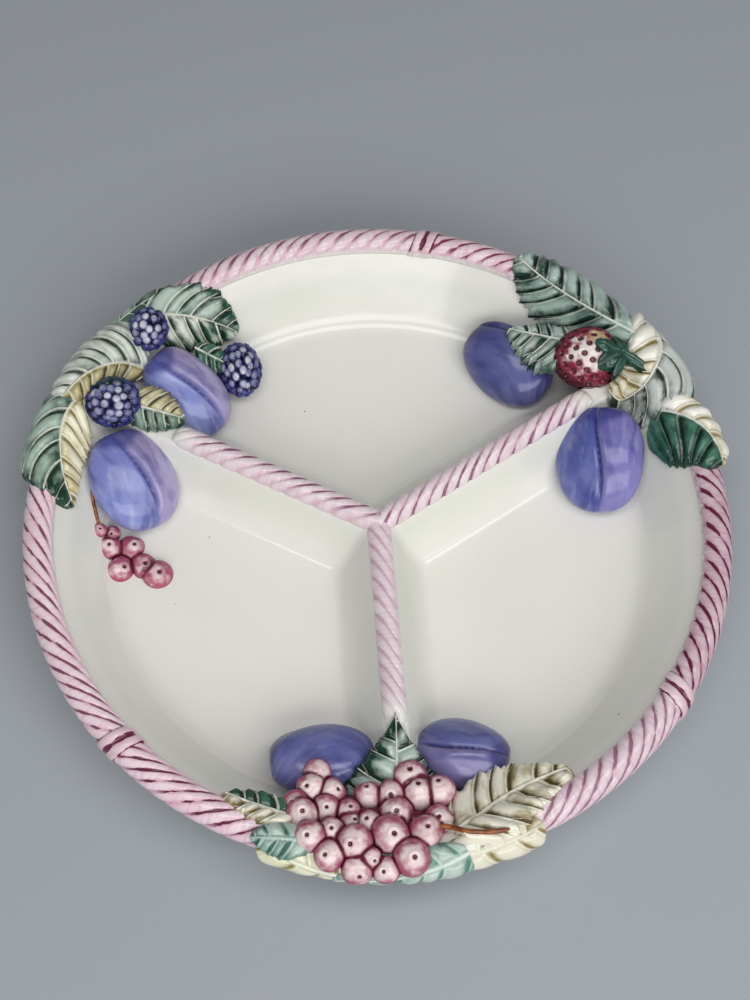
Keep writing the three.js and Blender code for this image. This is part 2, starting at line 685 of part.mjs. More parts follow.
const ARCS = {
  back: [SPRAYS.right, SPRAYS.left],
  left: [SPRAYS.left, SPRAYS.front],
  right: [SPRAYS.front, SPRAYS.right],
};
for (const [name, [before, after]] of Object.entries(ARCS)) {
  const turn = 2 * Math.PI;
  const from = before.angle + before.to / RIM_RADIUS;
  const to = after.angle + after.from / RIM_RADIUS + (after.angle < before.angle ? turn : 0);
  const knot = BINDING_ANGLES[name];
  const half = (BINDING_WRAP + CLEARANCE / 2) / RIM_RADIUS;
  addPiece(`rim_rope_${name}_a`, cutBy(rimRope(from, knot - half), leafCutters), PINK);
  addPiece(`rim_rope_${name}_b`, cutBy(rimRope(knot + half, to), leafCutters), PINK);
  addPiece(`rim_binding_${name}`, binding(knot), ROSE);
}

// Fruit on top of the leaves, and the leaves that reach out from under it

const bed = [...groundCutters, ...plumCutters, ...leafCutters];
addPiece('strawberry', cutBy(strawberry(STRAWBERRY), bed), STRAWBERRY_RED);
addPiece('currant_bunch', cutBy(currantBunch(CURRANT_BUNCH), bed), CURRANT);
addPiece('currant_sprig', cutBy(floorSprig(SPRIG), bed), CURRANT);
const fruitCutters = [strawberry(STRAWBERRY, CLEARANCE), currantBunch(CURRANT_BUNCH, CLEARANCE)];
for (const [name, spec] of named('bramble', BRAMBLES)) {
  addPiece(name, cutBy(bramble(spec), bed), BERRY_BLUE);
  fruitCutters.push(bramble(spec, CLEARANCE));
}
addPiece('strawberry_calyx', cutBy(calyx(CALYX), [...bed, ...fruitCutters]), GREEN);
for (const [name, spec] of named('leaf', PERCHED_LEAVES)) {
  addPiece(name, cutBy(perchedLeaf(spec), [...bed, ...fruitCutters]), GREEN);
}

// Stems

function stem({ spray, points }, lift) {
  const { angle } = SPRAYS[spray];
  return tube(points.map(([x, y]) => rimPoint(angle, x, y, lift(y))), STEM_RADIUS);
}
addPiece('sprig_stem', cutBy(stem(SPRIG_STEM, () => STEM_RADIUS / 2), bed), BROWN);
const twig = stem(TWIG, (y) => relief(TWIG.spray, y) + TWIG_LIFT);
addPiece('currant_twig', cutBy(twig, [...bed, ...fruitCutters]), BROWN);

export default dish;
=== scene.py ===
# %% [markdown]
# # A glazed antipasto dish
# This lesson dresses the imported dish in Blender. The CAD pieces are the fixed frame. Each of them
# is replaced by a finer mesh in the same place, because fired clay has soft edges and pooled glaze
# that flat facets can't show. All sizes are in millimetres and become metres when a mesh is made.

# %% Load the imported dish
import json
import math

import bpy
import numpy as np
from mathutils import Matrix, Vector

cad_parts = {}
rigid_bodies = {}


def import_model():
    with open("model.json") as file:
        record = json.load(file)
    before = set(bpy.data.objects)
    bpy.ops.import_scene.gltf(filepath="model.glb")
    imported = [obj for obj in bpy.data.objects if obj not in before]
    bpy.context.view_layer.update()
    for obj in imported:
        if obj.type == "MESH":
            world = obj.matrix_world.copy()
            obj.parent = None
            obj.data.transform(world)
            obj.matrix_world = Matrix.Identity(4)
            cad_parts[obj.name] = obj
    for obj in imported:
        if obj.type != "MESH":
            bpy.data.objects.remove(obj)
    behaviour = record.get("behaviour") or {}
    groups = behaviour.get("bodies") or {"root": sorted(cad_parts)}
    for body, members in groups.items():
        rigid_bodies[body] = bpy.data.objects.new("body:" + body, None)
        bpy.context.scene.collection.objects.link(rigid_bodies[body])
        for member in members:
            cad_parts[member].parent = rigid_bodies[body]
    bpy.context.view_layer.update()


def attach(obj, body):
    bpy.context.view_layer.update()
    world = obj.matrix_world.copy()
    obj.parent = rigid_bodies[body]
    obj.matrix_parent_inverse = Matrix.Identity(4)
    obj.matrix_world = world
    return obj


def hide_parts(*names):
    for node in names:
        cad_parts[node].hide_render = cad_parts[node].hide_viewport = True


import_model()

MM = 0.001

# %% [markdown]
# ## Camera
# The photograph looks down at the dish from in front, a little from the left. Its place and turn
# were solved from the rim and the three dividers. A matrix built from three turns is easier to
# read than a list of sixteen numbers, so the camera is placed by pan, dip and roll.

# %% Camera
CAMERA_PLACE = (-0.0398, -0.3244, 0.6829)
CAMERA_PAN = math.radians(-6.63)
CAMERA_DIP = math.radians(62.58)
CAMERA_ROLL = math.radians(2.56)
FRAME_HEIGHT = 36.0
LENS = 57.6

camera = bpy.data.objects.new("camera", bpy.data.cameras.new("camera"))
bpy.context.scene.collection.objects.link(camera)
camera.data.sensor_fit = "VERTICAL"
camera.data.sensor_height = FRAME_HEIGHT
camera.data.lens = LENS
turn = Matrix.Rotation(CAMERA_PAN, 4, "Z")
turn = turn @ Matrix.Rotation(math.pi / 2 - CAMERA_DIP, 4, "X")
turn = turn @ Matrix.Rotation(CAMERA_ROLL, 4, "Z")
camera.matrix_world = Matrix.Translation(CAMERA_PLACE) @ turn
bpy.context.scene.camera = camera
print("camera lens", LENS, "mm")

# %% [markdown]
# ## Sizes
# The driving sizes are those of the CAD model, so that every new mesh lands on its node.

# %% Sizes of the dish
RIM_RADIUS = 152.0
RIM_HEIGHT = 34.0
BEAD_RADIUS = 5.5
WALL_SLOPE = math.radians(52)
WALL_THICKNESS = 6.5
FLOOR_HEIGHT = 6.5
FLOOR_FILLET = 12.0
BASE_FILLET = 8.0
DIVIDER_ANGLES = {"right": math.radians(30), "left": math.radians(150),
                  "front": math.radians(270)}
DIVIDER_TOP = RIM_HEIGHT - 3.5
DIVIDER_TOP_HALF = 5.0
DIVIDER_FOOT_HALF = 17.0
DIVIDER_BLEND = 10.5
CHART_RADIUS = 11.0
WALL_START = -CHART_RADIUS * WALL_SLOPE
SPRAY_ANGLES = {"left": math.radians(146), "right": math.radians(33),
                "front": math.radians(270)}
SPRAY_MOUND = {"left": 0.0, "right": 0.0, "front": 0.6}
WALL_RELIEF = 3.0
RIM_RELIEF = 8.7


def smoothstep(low, high, value):
    t = np.clip((value - low) / (high - low), 0, 1)
    return t * t * (3 - 2 * t)


def bell(distance, width):
    return np.exp(-(distance / width) ** 2)


def normalised(vectors):
    return vectors / np.linalg.norm(vectors, axis=-1, keepdims=True)


def above_rim(rise):
    return RIM_HEIGHT + rise


def above_floor(rise):
    return FLOOR_HEIGHT + rise


def above_divider(rise):
    return DIVIDER_TOP + rise


print("rim", 2 * RIM_RADIUS, "mm across, dividers", DIVIDER_TOP - FLOOR_HEIGHT, "mm high")

# %% [markdown]
# ## Places on the clay
# Most of the relief lies on the rim. A chart of the rim makes that easy: x runs along the rim, y
# runs over the rolled edge and down the inner wall, and lift is the height off the clay. Numpy
# works on whole grids of points at once, which is far quicker than moving vertices one by one.

# %% Charts
def rim_point(angle, x, y, lift):
    down = np.minimum(0, y - WALL_START)
    phi = np.pi / 2 - np.maximum(y, WALL_START) / CHART_RADIUS
    reach = BEAD_RADIUS + lift
    r = RIM_RADIUS + reach * np.cos(phi) + down * math.cos(WALL_SLOPE)
    z = RIM_HEIGHT + reach * np.sin(phi) + down * math.sin(WALL_SLOPE)
    bearing = angle + x / RIM_RADIUS
    return np.stack([r * np.cos(bearing), r * np.sin(bearing), z + 0 * bearing], -1)


def rim_bearing(spray, x):
    return SPRAY_ANGLES[spray] + x / RIM_RADIUS


def plan_point(spray, x, inward, z):
    bearing = rim_bearing(spray, x)
    r = RIM_RADIUS - inward
    return np.array([r * math.cos(bearing), r * math.sin(bearing), z])


def turned(x, y, angle):
    cos, sin = math.cos(angle), math.sin(angle)
    return x * cos - y * sin, x * sin + y * cos


def turned_points(points, angle):
    x, y = turned(points[..., 0], points[..., 1], angle)
    return np.stack([x, y, points[..., 2]], -1)


OUTER_TUCK = (13.0, 27.0)
OUTER_TUCK_SHARE = 0.65


def relief(spray, y):
    rise = smoothstep(WALL_START, CHART_RADIUS * math.pi / 2, y)
    tuck = 1 - OUTER_TUCK_SHARE * smoothstep(*OUTER_TUCK, y)
    mound = SPRAY_MOUND[spray] * np.maximum(0, WALL_START - y)
    return (WALL_RELIEF + (RIM_RELIEF - WALL_RELIEF) * rise) * tuck + mound


print("rim crest at", np.round(rim_point(0.0, 0.0, 0.0, 0.0), 2))

# %% [markdown]
# ## Meshes
# Two builders make every piece. A shell is a grid of points on top, a grid underneath and a wall
# round the edge, which suits ropes and leaves. A globe is a grid that closes on itself with a
# point at each end, which suits fruit. Marks are numbers stored on the vertices, such as how near
# a groove is, and the glazes read them later.

# %% Mesh builders
SHARP_ANGLE = math.radians(60)
scene_objects = bpy.context.scene.collection.objects


def clay_mesh(name, points, faces, marks):
    corners = np.concatenate([f.ravel() for f in faces])
    sizes = np.concatenate([np.full(len(f), f.shape[1]) for f in faces])
    mesh = bpy.data.meshes.new(name)
    mesh.vertices.add(len(points))
    mesh.vertices.foreach_set("co", (points * MM).ravel())
    mesh.loops.add(len(corners))
    mesh.loops.foreach_set("vertex_index", corners.astype(np.int32))
    mesh.polygons.add(len(sizes))
    starts = np.concatenate([[0], np.cumsum(sizes)[:-1]])
    mesh.polygons.foreach_set("loop_start", starts.astype(np.int32))
    mesh.polygons.foreach_set("use_smooth", np.ones(len(sizes), bool))
    for mark, values in marks.items():
        layer = mesh.attributes.new(mark, "FLOAT", "POINT")
        layer.data.foreach_set("value", np.asarray(values, np.float32).ravel())
    mesh.update(calc_edges=True)
    mesh.validate()
    mesh.set_sharp_from_angle(angle=SHARP_ANGLE)
    return mesh


def facing_out(points, faces):
    volume = 0.0
    for f in faces:
        for k in range(1, f.shape[1] - 1):
            a, b, c = points[f[:, 0]], points[f[:, k]], points[f[:, k + 1]]
            volume += np.einsum("ij,ij->", a, np.cross(b, c))
    return faces if volume > 0 else [f[:, ::-1] for f in faces]


def place_piece(name, points, faces, marks, glaze, slot, nodes):
    piece = bpy.data.objects.new(name, clay_mesh(name, points, facing_out(points, faces), marks))
    scene_objects.link(piece)
    piece.data.materials.append(glaze)
    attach(piece, "root")
    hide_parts(*nodes)
    print(name, len(points), "vertices")
    return piece


def grid_faces(index):
    corners = [index[:-1, :-1], index[1:, :-1], index[1:, 1:], index[:-1, 1:]]
    return np.stack(corners, -1).reshape(-1, 4)


def shell(top, bottom, marks):
    m, n = top.shape[:2]
    upper = np.arange(m * n).reshape(m, n)
    lower = upper + m * n
    walls = []
    for edge in (np.s_[:, 0], np.s_[-1, :], np.s_[::-1, -1], np.s_[0, ::-1]):
        a, b = upper[edge], lower[edge]
        walls.append(np.stack([a[:-1], b[:-1], b[1:], a[1:]], -1))
    faces = np.concatenate([grid_faces(upper), grid_faces(lower)[:, ::-1]] + walls)
    points = np.concatenate([top.reshape(-1, 3), bottom.reshape(-1, 3)])
    doubled = {k: np.concatenate([v.ravel(), v.ravel()]) for k, v in marks.items()}
    return points, [faces], doubled


def globe(points, marks):
    """points is a grid (rings, around, 3); the first and last ring close to a point"""
    rings, around = points.shape[:2]
    index = np.arange(rings * around).reshape(rings, around)
    wrapped = np.concatenate([index, index[:, :1]], axis=1)
    first, last = rings * around, rings * around + 1
    near = np.stack([np.full(around, first), wrapped[0, 1:], wrapped[0, :-1]], -1)
    far = np.stack([np.full(around, last), wrapped[-1, :-1], wrapped[-1, 1:]], -1)
    tips = np.stack([points[0].mean(0), points[-1].mean(0)])
    every = np.concatenate([points.reshape(-1, 3), tips])
    ends = {k: np.concatenate([v.ravel(), [v[0].mean(), v[-1].mean()]]) for k, v in marks.items()}
    return every, [grid_faces(wrapped), np.concatenate([near, far])], ends


def joined(parts):
    points, quads, triangles, marks, start = [], [], [], {}, 0
    for part_points, part_faces, part_marks in parts:
        points.append(part_points)
        for f in part_faces:
            (quads if f.shape[1] == 4 else triangles).append(f + start)
        for k, v in part_marks.items():
            marks.setdefault(k, []).append(v)
        start += len(part_points)
    faces = [np.concatenate(group) for group in (quads, triangles) if group]
    return np.concatenate(points), faces, {k: np.concatenate(v) for k, v in marks.items()}


print("mesh builders ready")

# %% [markdown]
# ## Glaze tools
# A glaze is thin on ridges, where the pale clay shows, and pools in hollows, where it turns dark.
# Some of that darkening below is painted shade, and some of the paleness on tops is painted
# highlight. It is laid on by hand, so strokes and blotches show. These effects are shared, so each
# is a node group with named sockets. The Principled shader stays in each material.

# %% Node helpers
def linear(channel):
    """The standard curve from a screen colour's channel to light"""
    return channel / 12.92 if channel < 0.04045 else ((channel + 0.055) / 1.055) ** 2.4


def srgb(code):
    channels = [int(code[i:i + 2], 16) / 255 for i in (1, 3, 5)]
    return tuple(linear(c) for c in channels) + (1.0,)


def feed(tree, socket, value):
    """Links an input to another node's output, or sets it to a plain value"""
    if isinstance(value, bpy.types.NodeSocket):
        tree.links.new(value, socket)
    else:
        socket.default_value = value


def add_node(tree, kind, inputs=None, **settings):
    node = tree.nodes.new(kind)
    for key, value in settings.items():
        setattr(node, key, value)
    for key, value in (inputs or {}).items():
        feed(tree, node.inputs[key], value)
    return node


def sums(tree, operation, *values, clamp=False):
    node = add_node(tree, "ShaderNodeMath", operation=operation, use_clamp=clamp)
    for socket, value in zip(node.inputs, values):
        feed(tree, socket, value)
    return node.outputs[0]


def scaled(tree, value, amount, clamp=False):
    return sums(tree, "MULTIPLY", value, amount, clamp=clamp)


def nudged(tree, value, grain, amount, clamp=False):
    """Adds a grain of 0 to 1 to a value, as a push of half the amount either way"""
    push = scaled(tree, sums(tree, "SUBTRACT", grain, 0.5), amount)
    return sums(tree, "ADD", value, push, clamp=clamp)


def blend(tree, share, first, second):
    node = add_node(tree, "ShaderNodeMix", data_type="RGBA", blend_type="MIX")
    for key, value in (("Factor_Float", share), ("A_Color", first), ("B_Color", second)):
        feed(tree, next(s for s in node.inputs if s.identifier == key), value)
    return next(s for s in node.outputs if s.identifier == "Result_Color")


def tint(tree, base, colour, share, strength):
    return blend(tree, scaled(tree, share, strength), base, srgb(colour))


def span(tree, value, low, high):
    limits = {"Value": value, "From Min": low, "From Max": high}
    node = add_node(tree, "ShaderNodeMapRange", limits, interpolation_type="SMOOTHSTEP")
    return node.outputs["Result"]


def mark(tree, name):
    return add_node(tree, "ShaderNodeAttribute", attribute_name=name).outputs["Fac"]


def new_group(name, inputs, outputs):
    tree = bpy.data.node_groups.new(name, "ShaderNodeTree")
    for socket, kind, value in inputs:
        made = tree.interface.new_socket(name=socket, in_out="INPUT", socket_type=kind)
        made.default_value = value
    for socket, kind in outputs:
        tree.interface.new_socket(name=socket, in_out="OUTPUT", socket_type=kind)
    source = tree.nodes.new("NodeGroupInput")
    sink = tree.nodes.new("NodeGroupOutput")
    return tree, source.outputs, sink.inputs


def use_group(tree, group, **inputs):
    named = {key.replace("_", " "): value for key, value in inputs.items()}
    return add_node(tree, "ShaderNodeGroup", named, node_tree=group).outputs


FLOAT, COLOUR = "NodeSocketFloat", "NodeSocketColor"
print("node helpers ready")

# %% [markdown]
# ### Blotches, strokes and specks
# Blotches are soft noise in the clay's own coordinates. Strokes are noise stretched along a pair
# of marks, so that they follow the fruit or the rope. Specks are the few dark pinholes of a kiln.

# %% Shared groups
WHITE, BLACK = (1, 1, 1, 1), (0, 0, 0, 1)
BLOTCH_DETAIL, BLOTCH_RANGE = 4.0, (0.3, 0.7)
STROKE_DETAIL, STROKE_RANGE = 5.0, (0.28, 0.72)
WAVE_DETAIL = 2.0


def in_clay(tree, size):
    """Sets a texture in the clay, with features of a size in millimetres"""
    place = add_node(tree, "ShaderNodeNewGeometry").outputs["Position"]
    return {"Vector": place, "Scale": sums(tree, "DIVIDE", 1 / MM, size)}


def noise(tree, setting, detail):
    return add_node(tree, "ShaderNodeTexNoise", {**setting, "Detail": detail}).outputs["Fac"]


def blotches_group():
    tree, given, out = new_group("blotches", [("Size", FLOAT, 4.0)], [("Value", FLOAT)])
    cloud = noise(tree, in_clay(tree, given["Size"]), BLOTCH_DETAIL)
    tree.links.new(span(tree, cloud, *BLOTCH_RANGE), out["Value"])
    return tree


def strokes_group():
    sockets = [("Along", FLOAT, 0.0), ("Across", FLOAT, 0.0),
               ("Length", FLOAT, 1.0), ("Width", FLOAT, 0.1)]
    tree, given, out = new_group("brush strokes", sockets, [("Value", FLOAT)])
    along = sums(tree, "DIVIDE", given["Along"], given["Length"])
    across = sums(tree, "DIVIDE", given["Across"], given["Width"])
    place = add_node(tree, "ShaderNodeCombineXYZ", {"X": along, "Y": across}).outputs[0]
    streaks = noise(tree, {"Vector": place, "Scale": 1.0}, STROKE_DETAIL)
    tree.links.new(span(tree, streaks, *STROKE_RANGE), out["Value"])
    return tree


def specks_group():
    sockets = [("Spacing", FLOAT, 9.0), ("Size", FLOAT, 0.05), ("Share", FLOAT, 0.1)]
    tree, given, out = new_group("kiln specks", sockets, [("Mask", FLOAT)])
    cells = add_node(tree, "ShaderNodeTexVoronoi", in_clay(tree, given["Spacing"]))
    pick = add_node(tree, "ShaderNodeSeparateColor", {"Color": cells.outputs["Color"]})
    chosen = sums(tree, "LESS_THAN", pick.outputs["Red"], given["Share"])
    size = scaled(tree, given["Size"], pick.outputs["Green"])
    inside = sums(tree, "LESS_THAN", cells.outputs["Distance"], size)
    tree.links.new(scaled(tree, chosen, inside), out["Mask"])
    return tree


def blotches(tree, size):
    return use_group(tree, BLOTCHES, Size=size)["Value"]


def strokes(tree, along, across, length, width):
    return use_group(tree, STROKES, Along=along, Across=across, Length=length,
                     Width=width)["Value"]


# Blends two colours by a mask, broken up by blotches. The dish uses it to paint shade up its walls.
def wall_shade_group():
    sockets = [("Mask", FLOAT, 0.0), ("Breakup", FLOAT, 0.5), ("Size", FLOAT, 3.0),
               ("Thin", COLOUR, WHITE), ("Pooled", COLOUR, BLACK)]
    tree, given, out = new_group("painted wall shade", sockets, [("Color", COLOUR)])
    cloud = blotches(tree, given["Size"])
    share = nudged(tree, given["Mask"], cloud, given["Breakup"], clamp=True)
    tree.links.new(blend(tree, share, given["Thin"], given["Pooled"]), out["Color"])
    return tree


def waviness_group():
    sockets = [("Size", FLOAT, 12.0), ("Depth", FLOAT, 0.2)]
    tree, given, out = new_group("glaze waviness", sockets, [("Height", FLOAT)])
    swell = noise(tree, in_clay(tree, given["Size"]), WAVE_DETAIL)
    tree.links.new(scaled(tree, swell, given["Depth"]), out["Height"])
    return tree


BLOTCHES = blotches_group()
STROKES = strokes_group()
SPECKS = specks_group()
WALL_SHADE = wall_shade_group()
WAVINESS = waviness_group()
print("groups:", [g.name for g in bpy.data.node_groups])

# %% [markdown]
# ### A glazed material
# Every glaze ends in the same way: a colour that changes over the surface, a glossy skin and a
# slightly wavy surface that breaks up the reflections.

# %% Glaze material
GLAZE_ROUGHNESS = 0.16
GLAZE_IOR = 1.5
WAVE_SIZE = 9.0
WAVE_DEPTH = 0.12


def glaze_material(name, paint, wave_size=WAVE_SIZE, wave_depth=WAVE_DEPTH,
                   roughness=GLAZE_ROUGHNESS):
    material = bpy.data.materials.new(name)
    material.use_nodes = True
    tree = material.node_tree
    tree.nodes.clear()
    colour = paint(tree)
    height = use_group(tree, WAVINESS, Size=wave_size, Depth=wave_depth)["Height"]
    bump = add_node(tree, "ShaderNodeBump", {"Height": height, "Distance": MM, "Strength": 1.0})
    shader = add_node(tree, "ShaderNodeBsdfPrincipled",
                      {"Base Color": colour, "Normal": bump.outputs[0]})
    shader.inputs["Roughness"].default_value = roughness
    shader.inputs["IOR"].default_value = GLAZE_IOR
    output = add_node(tree, "ShaderNodeOutputMaterial")
    tree.links.new(shader.outputs[0], output.inputs["Surface"])
    return material


print("glaze roughness", GLAZE_ROUGHNESS)

# %% [markdown]
# ## The dish
# The bowl and its dividers are one piece of clay, with soft fillets where they meet. Joining
# solids would leave hard seams, so the inside is a height map instead: at each point the bowl and
# the three walls are compared, and a smooth maximum rounds the corner between them. The outside is
# a plain turned profile.

# %% Shape of the clay
def smooth_max(a, b, blend_size):
    lap = np.maximum(blend_size - np.abs(a - b), 0)
    return np.maximum(a, b) + lap * lap / (4 * blend_size)


CENTRE_HOLE = 0.4
CREST = 10
PROFILE_STEPS = dict(floor=76, fillet=14, wall=24, bead=26, outside=12, foot=9, base=8)


def bowl_profile():
    steps = PROFILE_STEPS
    sin, cos = math.sin(WALL_SLOPE), math.cos(WALL_SLOPE)
    normal = math.pi / 2 + WALL_SLOPE
    fillet_z = FLOOR_HEIGHT + FLOOR_FILLET
    fillet_r = RIM_RADIUS - (BEAD_RADIUS + FLOOR_FILLET - cos * (fillet_z - RIM_HEIGHT)) / sin
    under = normal + math.acos((BEAD_RADIUS - WALL_THICKNESS) / BEAD_RADIUS)
    neck = (RIM_RADIUS + BEAD_RADIUS * math.cos(under), RIM_HEIGHT + BEAD_RADIUS * math.sin(under))
    corner = neck[0] - neck[1] * cos / sin

    def arc(centre, radius, start, end, count):
        a = np.linspace(start, end, count)
        return np.stack([centre[0] + radius * np.cos(a), centre[1] + radius * np.sin(a)], -1)

    def line(start, end, count):
        t = np.linspace(0, 1, count)[:, None]
        return np.array(start) * (1 - t) + np.array(end) * t

    fillet = arc((fillet_r, fillet_z), FLOOR_FILLET, -math.pi / 2, normal - math.pi,
                 steps["fillet"])
    bead = arc((RIM_RADIUS, RIM_HEIGHT), BEAD_RADIUS, normal, under - 2 * math.pi, steps["bead"])
    floor = line((CENTRE_HOLE, FLOOR_HEIGHT), fillet[0], steps["floor"])
    wall = line(fillet[-1], bead[0], steps["wall"])
    t = np.linspace(0, 1, steps["foot"])[:, None]
    foot_end = np.array([corner + BASE_FILLET * cos, BASE_FILLET * sin])
    bend = np.array([corner, 0.0])
    foot_start = np.array([corner - BASE_FILLET, 0.0])
    foot = (1 - t) ** 2 * foot_end + 2 * t * (1 - t) * bend + t * t * foot_start
    outside = line(neck, foot_end, steps["outside"])
    base = line(foot_start, (CENTRE_HOLE, 0.0), steps["base"])
    inner = np.concatenate([floor, fillet[1:], wall[1:], bead[1:CREST]])
    outer = np.concatenate([bead[CREST:], outside[1:], foot[1:], base[1:]])
    return inner, outer


INNER_PROFILE, OUTER_PROFILE = bowl_profile()


def bowl_height(r):
    return np.interp(r, INNER_PROFILE[:, 0], INNER_PROFILE[:, 1])


def clay_height(x, y):
    """Height of the dish's inside at plan points, dividers included"""
    r = np.hypot(x, y)
    height = bowl_height(r)
    slope = (DIVIDER_TOP - FLOOR_HEIGHT) / (DIVIDER_FOOT_HALF - DIVIDER_TOP_HALF)
    walls = None
    for angle in DIVIDER_ANGLES.values():
        along = x * math.cos(angle) + y * math.sin(angle)
        across = np.abs(-x * math.sin(angle) + y * math.cos(angle))
        away = np.where(along > 0, across, np.hypot(across, along))
        wall = DIVIDER_TOP - slope * np.maximum(0, away - DIVIDER_TOP_HALF)
        walls = wall if walls is None else smooth_max(walls, wall, DIVIDER_BLEND / 2)
    walls = np.minimum(walls, DIVIDER_TOP)
    return smooth_max(height, walls, DIVIDER_BLEND)


DISH_STEPS = 168
HALF_SECTOR = math.radians(60)
CROWDING = 0.5
CREST_ROWS = 4
sector = np.linspace(-1, 1, DISH_STEPS, endpoint=False)
spread = HALF_SECTOR * ((1 - CROWDING) * sector + CROWDING * sector ** 3)
bearings = np.concatenate([angle + spread for angle in DIVIDER_ANGLES.values()])
profile = np.concatenate([INNER_PROFILE, OUTER_PROFILE])
dish_x = profile[:, :1] * np.cos(bearings)
dish_y = profile[:, :1] * np.sin(bearings)
dish_z = np.repeat(profile[:, 1:], len(bearings), axis=1)
inside = len(INNER_PROFILE) - CREST_ROWS
dish_z[:inside] = clay_height(dish_x[:inside], dish_y[:inside])
dish_grid = np.stack([dish_x, dish_y, dish_z], -1)
print("dish grid", dish_grid.shape)

# %% [markdown]
# The body's glaze is a warm white, clear where it runs thin, and it carries a few kiln specks. Up
# the walls, from the floor to just below the tops of the dividers, it is a touch greener and
# darker, as painted shade.

# %% Cream glaze and the dish
THIN_CREAM, SHADED_CREAM, SPECK_BROWN = "#edebe3", "#e4e5da", "#6a655c"
CREAM_ROUGHNESS = 0.13
SHADE_RISE = 20.0
SHADE_FADE = 6.0


def cream_paint(tree):
    # The cream carries painted shade up the walls.
    cream_with_shade = use_group(tree, WALL_SHADE, Mask=mark(tree, "hollow"), Breakup=0.5, Size=40.0,
                     Thin=srgb(THIN_CREAM), Pooled=srgb(SHADED_CREAM))["Color"]
    specks = use_group(tree, SPECKS, Spacing=16.0, Size=0.035, Share=0.22)["Mask"]
    return blend(tree, specks, cream_with_shade, srgb(SPECK_BROWN))


cream_glaze = glaze_material("cream glaze", cream_paint, wave_size=26.0, wave_depth=0.25,
                             roughness=CREAM_ROUGHNESS)
# Painted shade: none on the floor, most part way up the walls, fading out below the tops of the
# dividers.
hollow = np.clip((dish_z - FLOOR_HEIGHT) / SHADE_RISE, 0, 1)
hollow = hollow * np.clip((DIVIDER_TOP - dish_z) / SHADE_FADE, 0, 1)
dish_nodes = ["dish_body"] + ["divider_wall_" + name for name in DIVIDER_ANGLES]
place_piece("dish", *globe(dish_grid, {"hollow": hollow}), cream_glaze, "cream_glaze", dish_nodes)

# %% [markdown]
# ## Ropes
# The rim is moulded as a twisted rope. A real twisted mesh would hide most of its strands inside
# the clay, so only the skin is made: a grid along the rim whose height dips at each strand's edge.
# The groove is a mark too, and the wine strokes follow it.

# %% Rope shape
ROPE_EDGES = (-12.0, 20.0)
ROPE_MIDDLE = 5.0
ROPE_RISE = 3.0
ROPE_LEAST_SHARE = 0.02
ROPE_SEAT = 0.45
ROPE_EDGE_SEAT = 0.05
ROPE_SEAT_RUN = 4.0
ROPE_DEPTH = 1.0
ROPE_STRAND = 8.2
ROPE_TWIST = 1.1
ROPE_DIP = 0.26
ROPE_TAPER = 4.0
ROPE_STEP = 0.55
ROPE_COLUMNS = 40
STRAND_WANDER = ((0.16, 23.0, 0.0), (0.11, 9.1, 1.3))
STRAND_FULLNESS = 4
STRAND_GROOVE = 0.6
ACROSS_UNIT, ALONG_UNIT = 20.0, 10.0
ROPE_ENDS = {
    "back": (rim_bearing("right", 66), rim_bearing("left", -48)),
    "left": (rim_bearing("left", 60), rim_bearing("front", -57)),
    "right": (rim_bearing("front", 52), rim_bearing("right", -57) + 2 * math.pi),
}


def rope_rise(y):
    middle, half = sum(ROPE_EDGES) / 2, (ROPE_EDGES[1] - ROPE_EDGES[0]) / 2
    bulge = 1 - ((y - middle) / half) ** 2
    return ROPE_RISE * np.sqrt(np.maximum(ROPE_LEAST_SHARE ** 2, bulge))


def rounded_end(distance, length):
    """Grows from 0 to 1 over a length, as a quarter circle does"""
    return np.sqrt(1 - np.clip(1 - distance / length, 0, 1) ** 2)


def strand_phase(x, y, twist, strand, bow=0.0):
    """Counts strands along a rope; the spacing wanders a little, as it does when laid by hand"""
    run = x + twist * y + bow * (y - ROPE_MIDDLE) ** 2
    phase = run / strand
    for size, length, start in STRAND_WANDER:
        phase = phase + size * np.sin(run / length + start)
    return phase


def strand_marks(phase):
    offset = np.abs(2 * (phase - np.floor(phase)) - 1)
    marks = {"groove": smoothstep(STRAND_GROOVE, 1.0, offset), "crown": 1 - offset,
             "strand": np.round(phase)}
    return 1 - offset ** STRAND_FULLNESS, marks


def rim_skin(angle, x, y, lift, marks):
    under = rim_point(angle, x, y, 0 * lift - ROPE_DEPTH)
    return shell(rim_point(angle, x, y, lift), under, marks)


def rim_rope(start, end, bow):
    length = (end - start) * RIM_RADIUS
    x = np.linspace(0, length, int(length / ROPE_STEP))[:, None]
    y = np.linspace(*ROPE_EDGES, ROPE_COLUMNS)[None, :]
    around = start * RIM_RADIUS + x
    crown, marks = strand_marks(strand_phase(around, y, ROPE_TWIST, ROPE_STRAND, bow))
    seated = smoothstep(ROPE_EDGES[0], ROPE_EDGES[0] + ROPE_SEAT_RUN, y)
    seat = ROPE_EDGE_SEAT + ROPE_SEAT * seated
    taper = rounded_end(np.minimum(x, length - x), ROPE_TAPER)
    lift = seat + rope_rise(y) * (1 - ROPE_DIP * (1 - crown)) * taper
    marks["across"] = (y + 0 * x) / ACROSS_UNIT
    marks["along"] = (around + 0 * y) / ALONG_UNIT
    return rim_skin(start, x, y, lift, marks)


print("rope of", round(2 * math.pi * RIM_RADIUS / ROPE_STRAND), "strands if it ran all round")

# %% [markdown]
# A binding is two turns of cord round the rope. It is a short grid of its own, high enough that
# the rope never breaks through it, with a groove between the turns.

# %% Binding shape
BINDING_HALF = 6.0
BINDING_RISE = 0.8
BINDING_SLANT = -0.2
BINDING_STEPS = 48
BINDING_SQUARENESS = 8
BINDING_CLEARANCE = 0.15
BINDING_SWELL = 0.08
BINDING_GROOVE = (0.8, 0.25)
BINDING_SEED = 40
BINDING_ANGLES = {"back": math.radians(76.7), "left": math.radians(220.4),
                  "right": math.radians(321.9)}


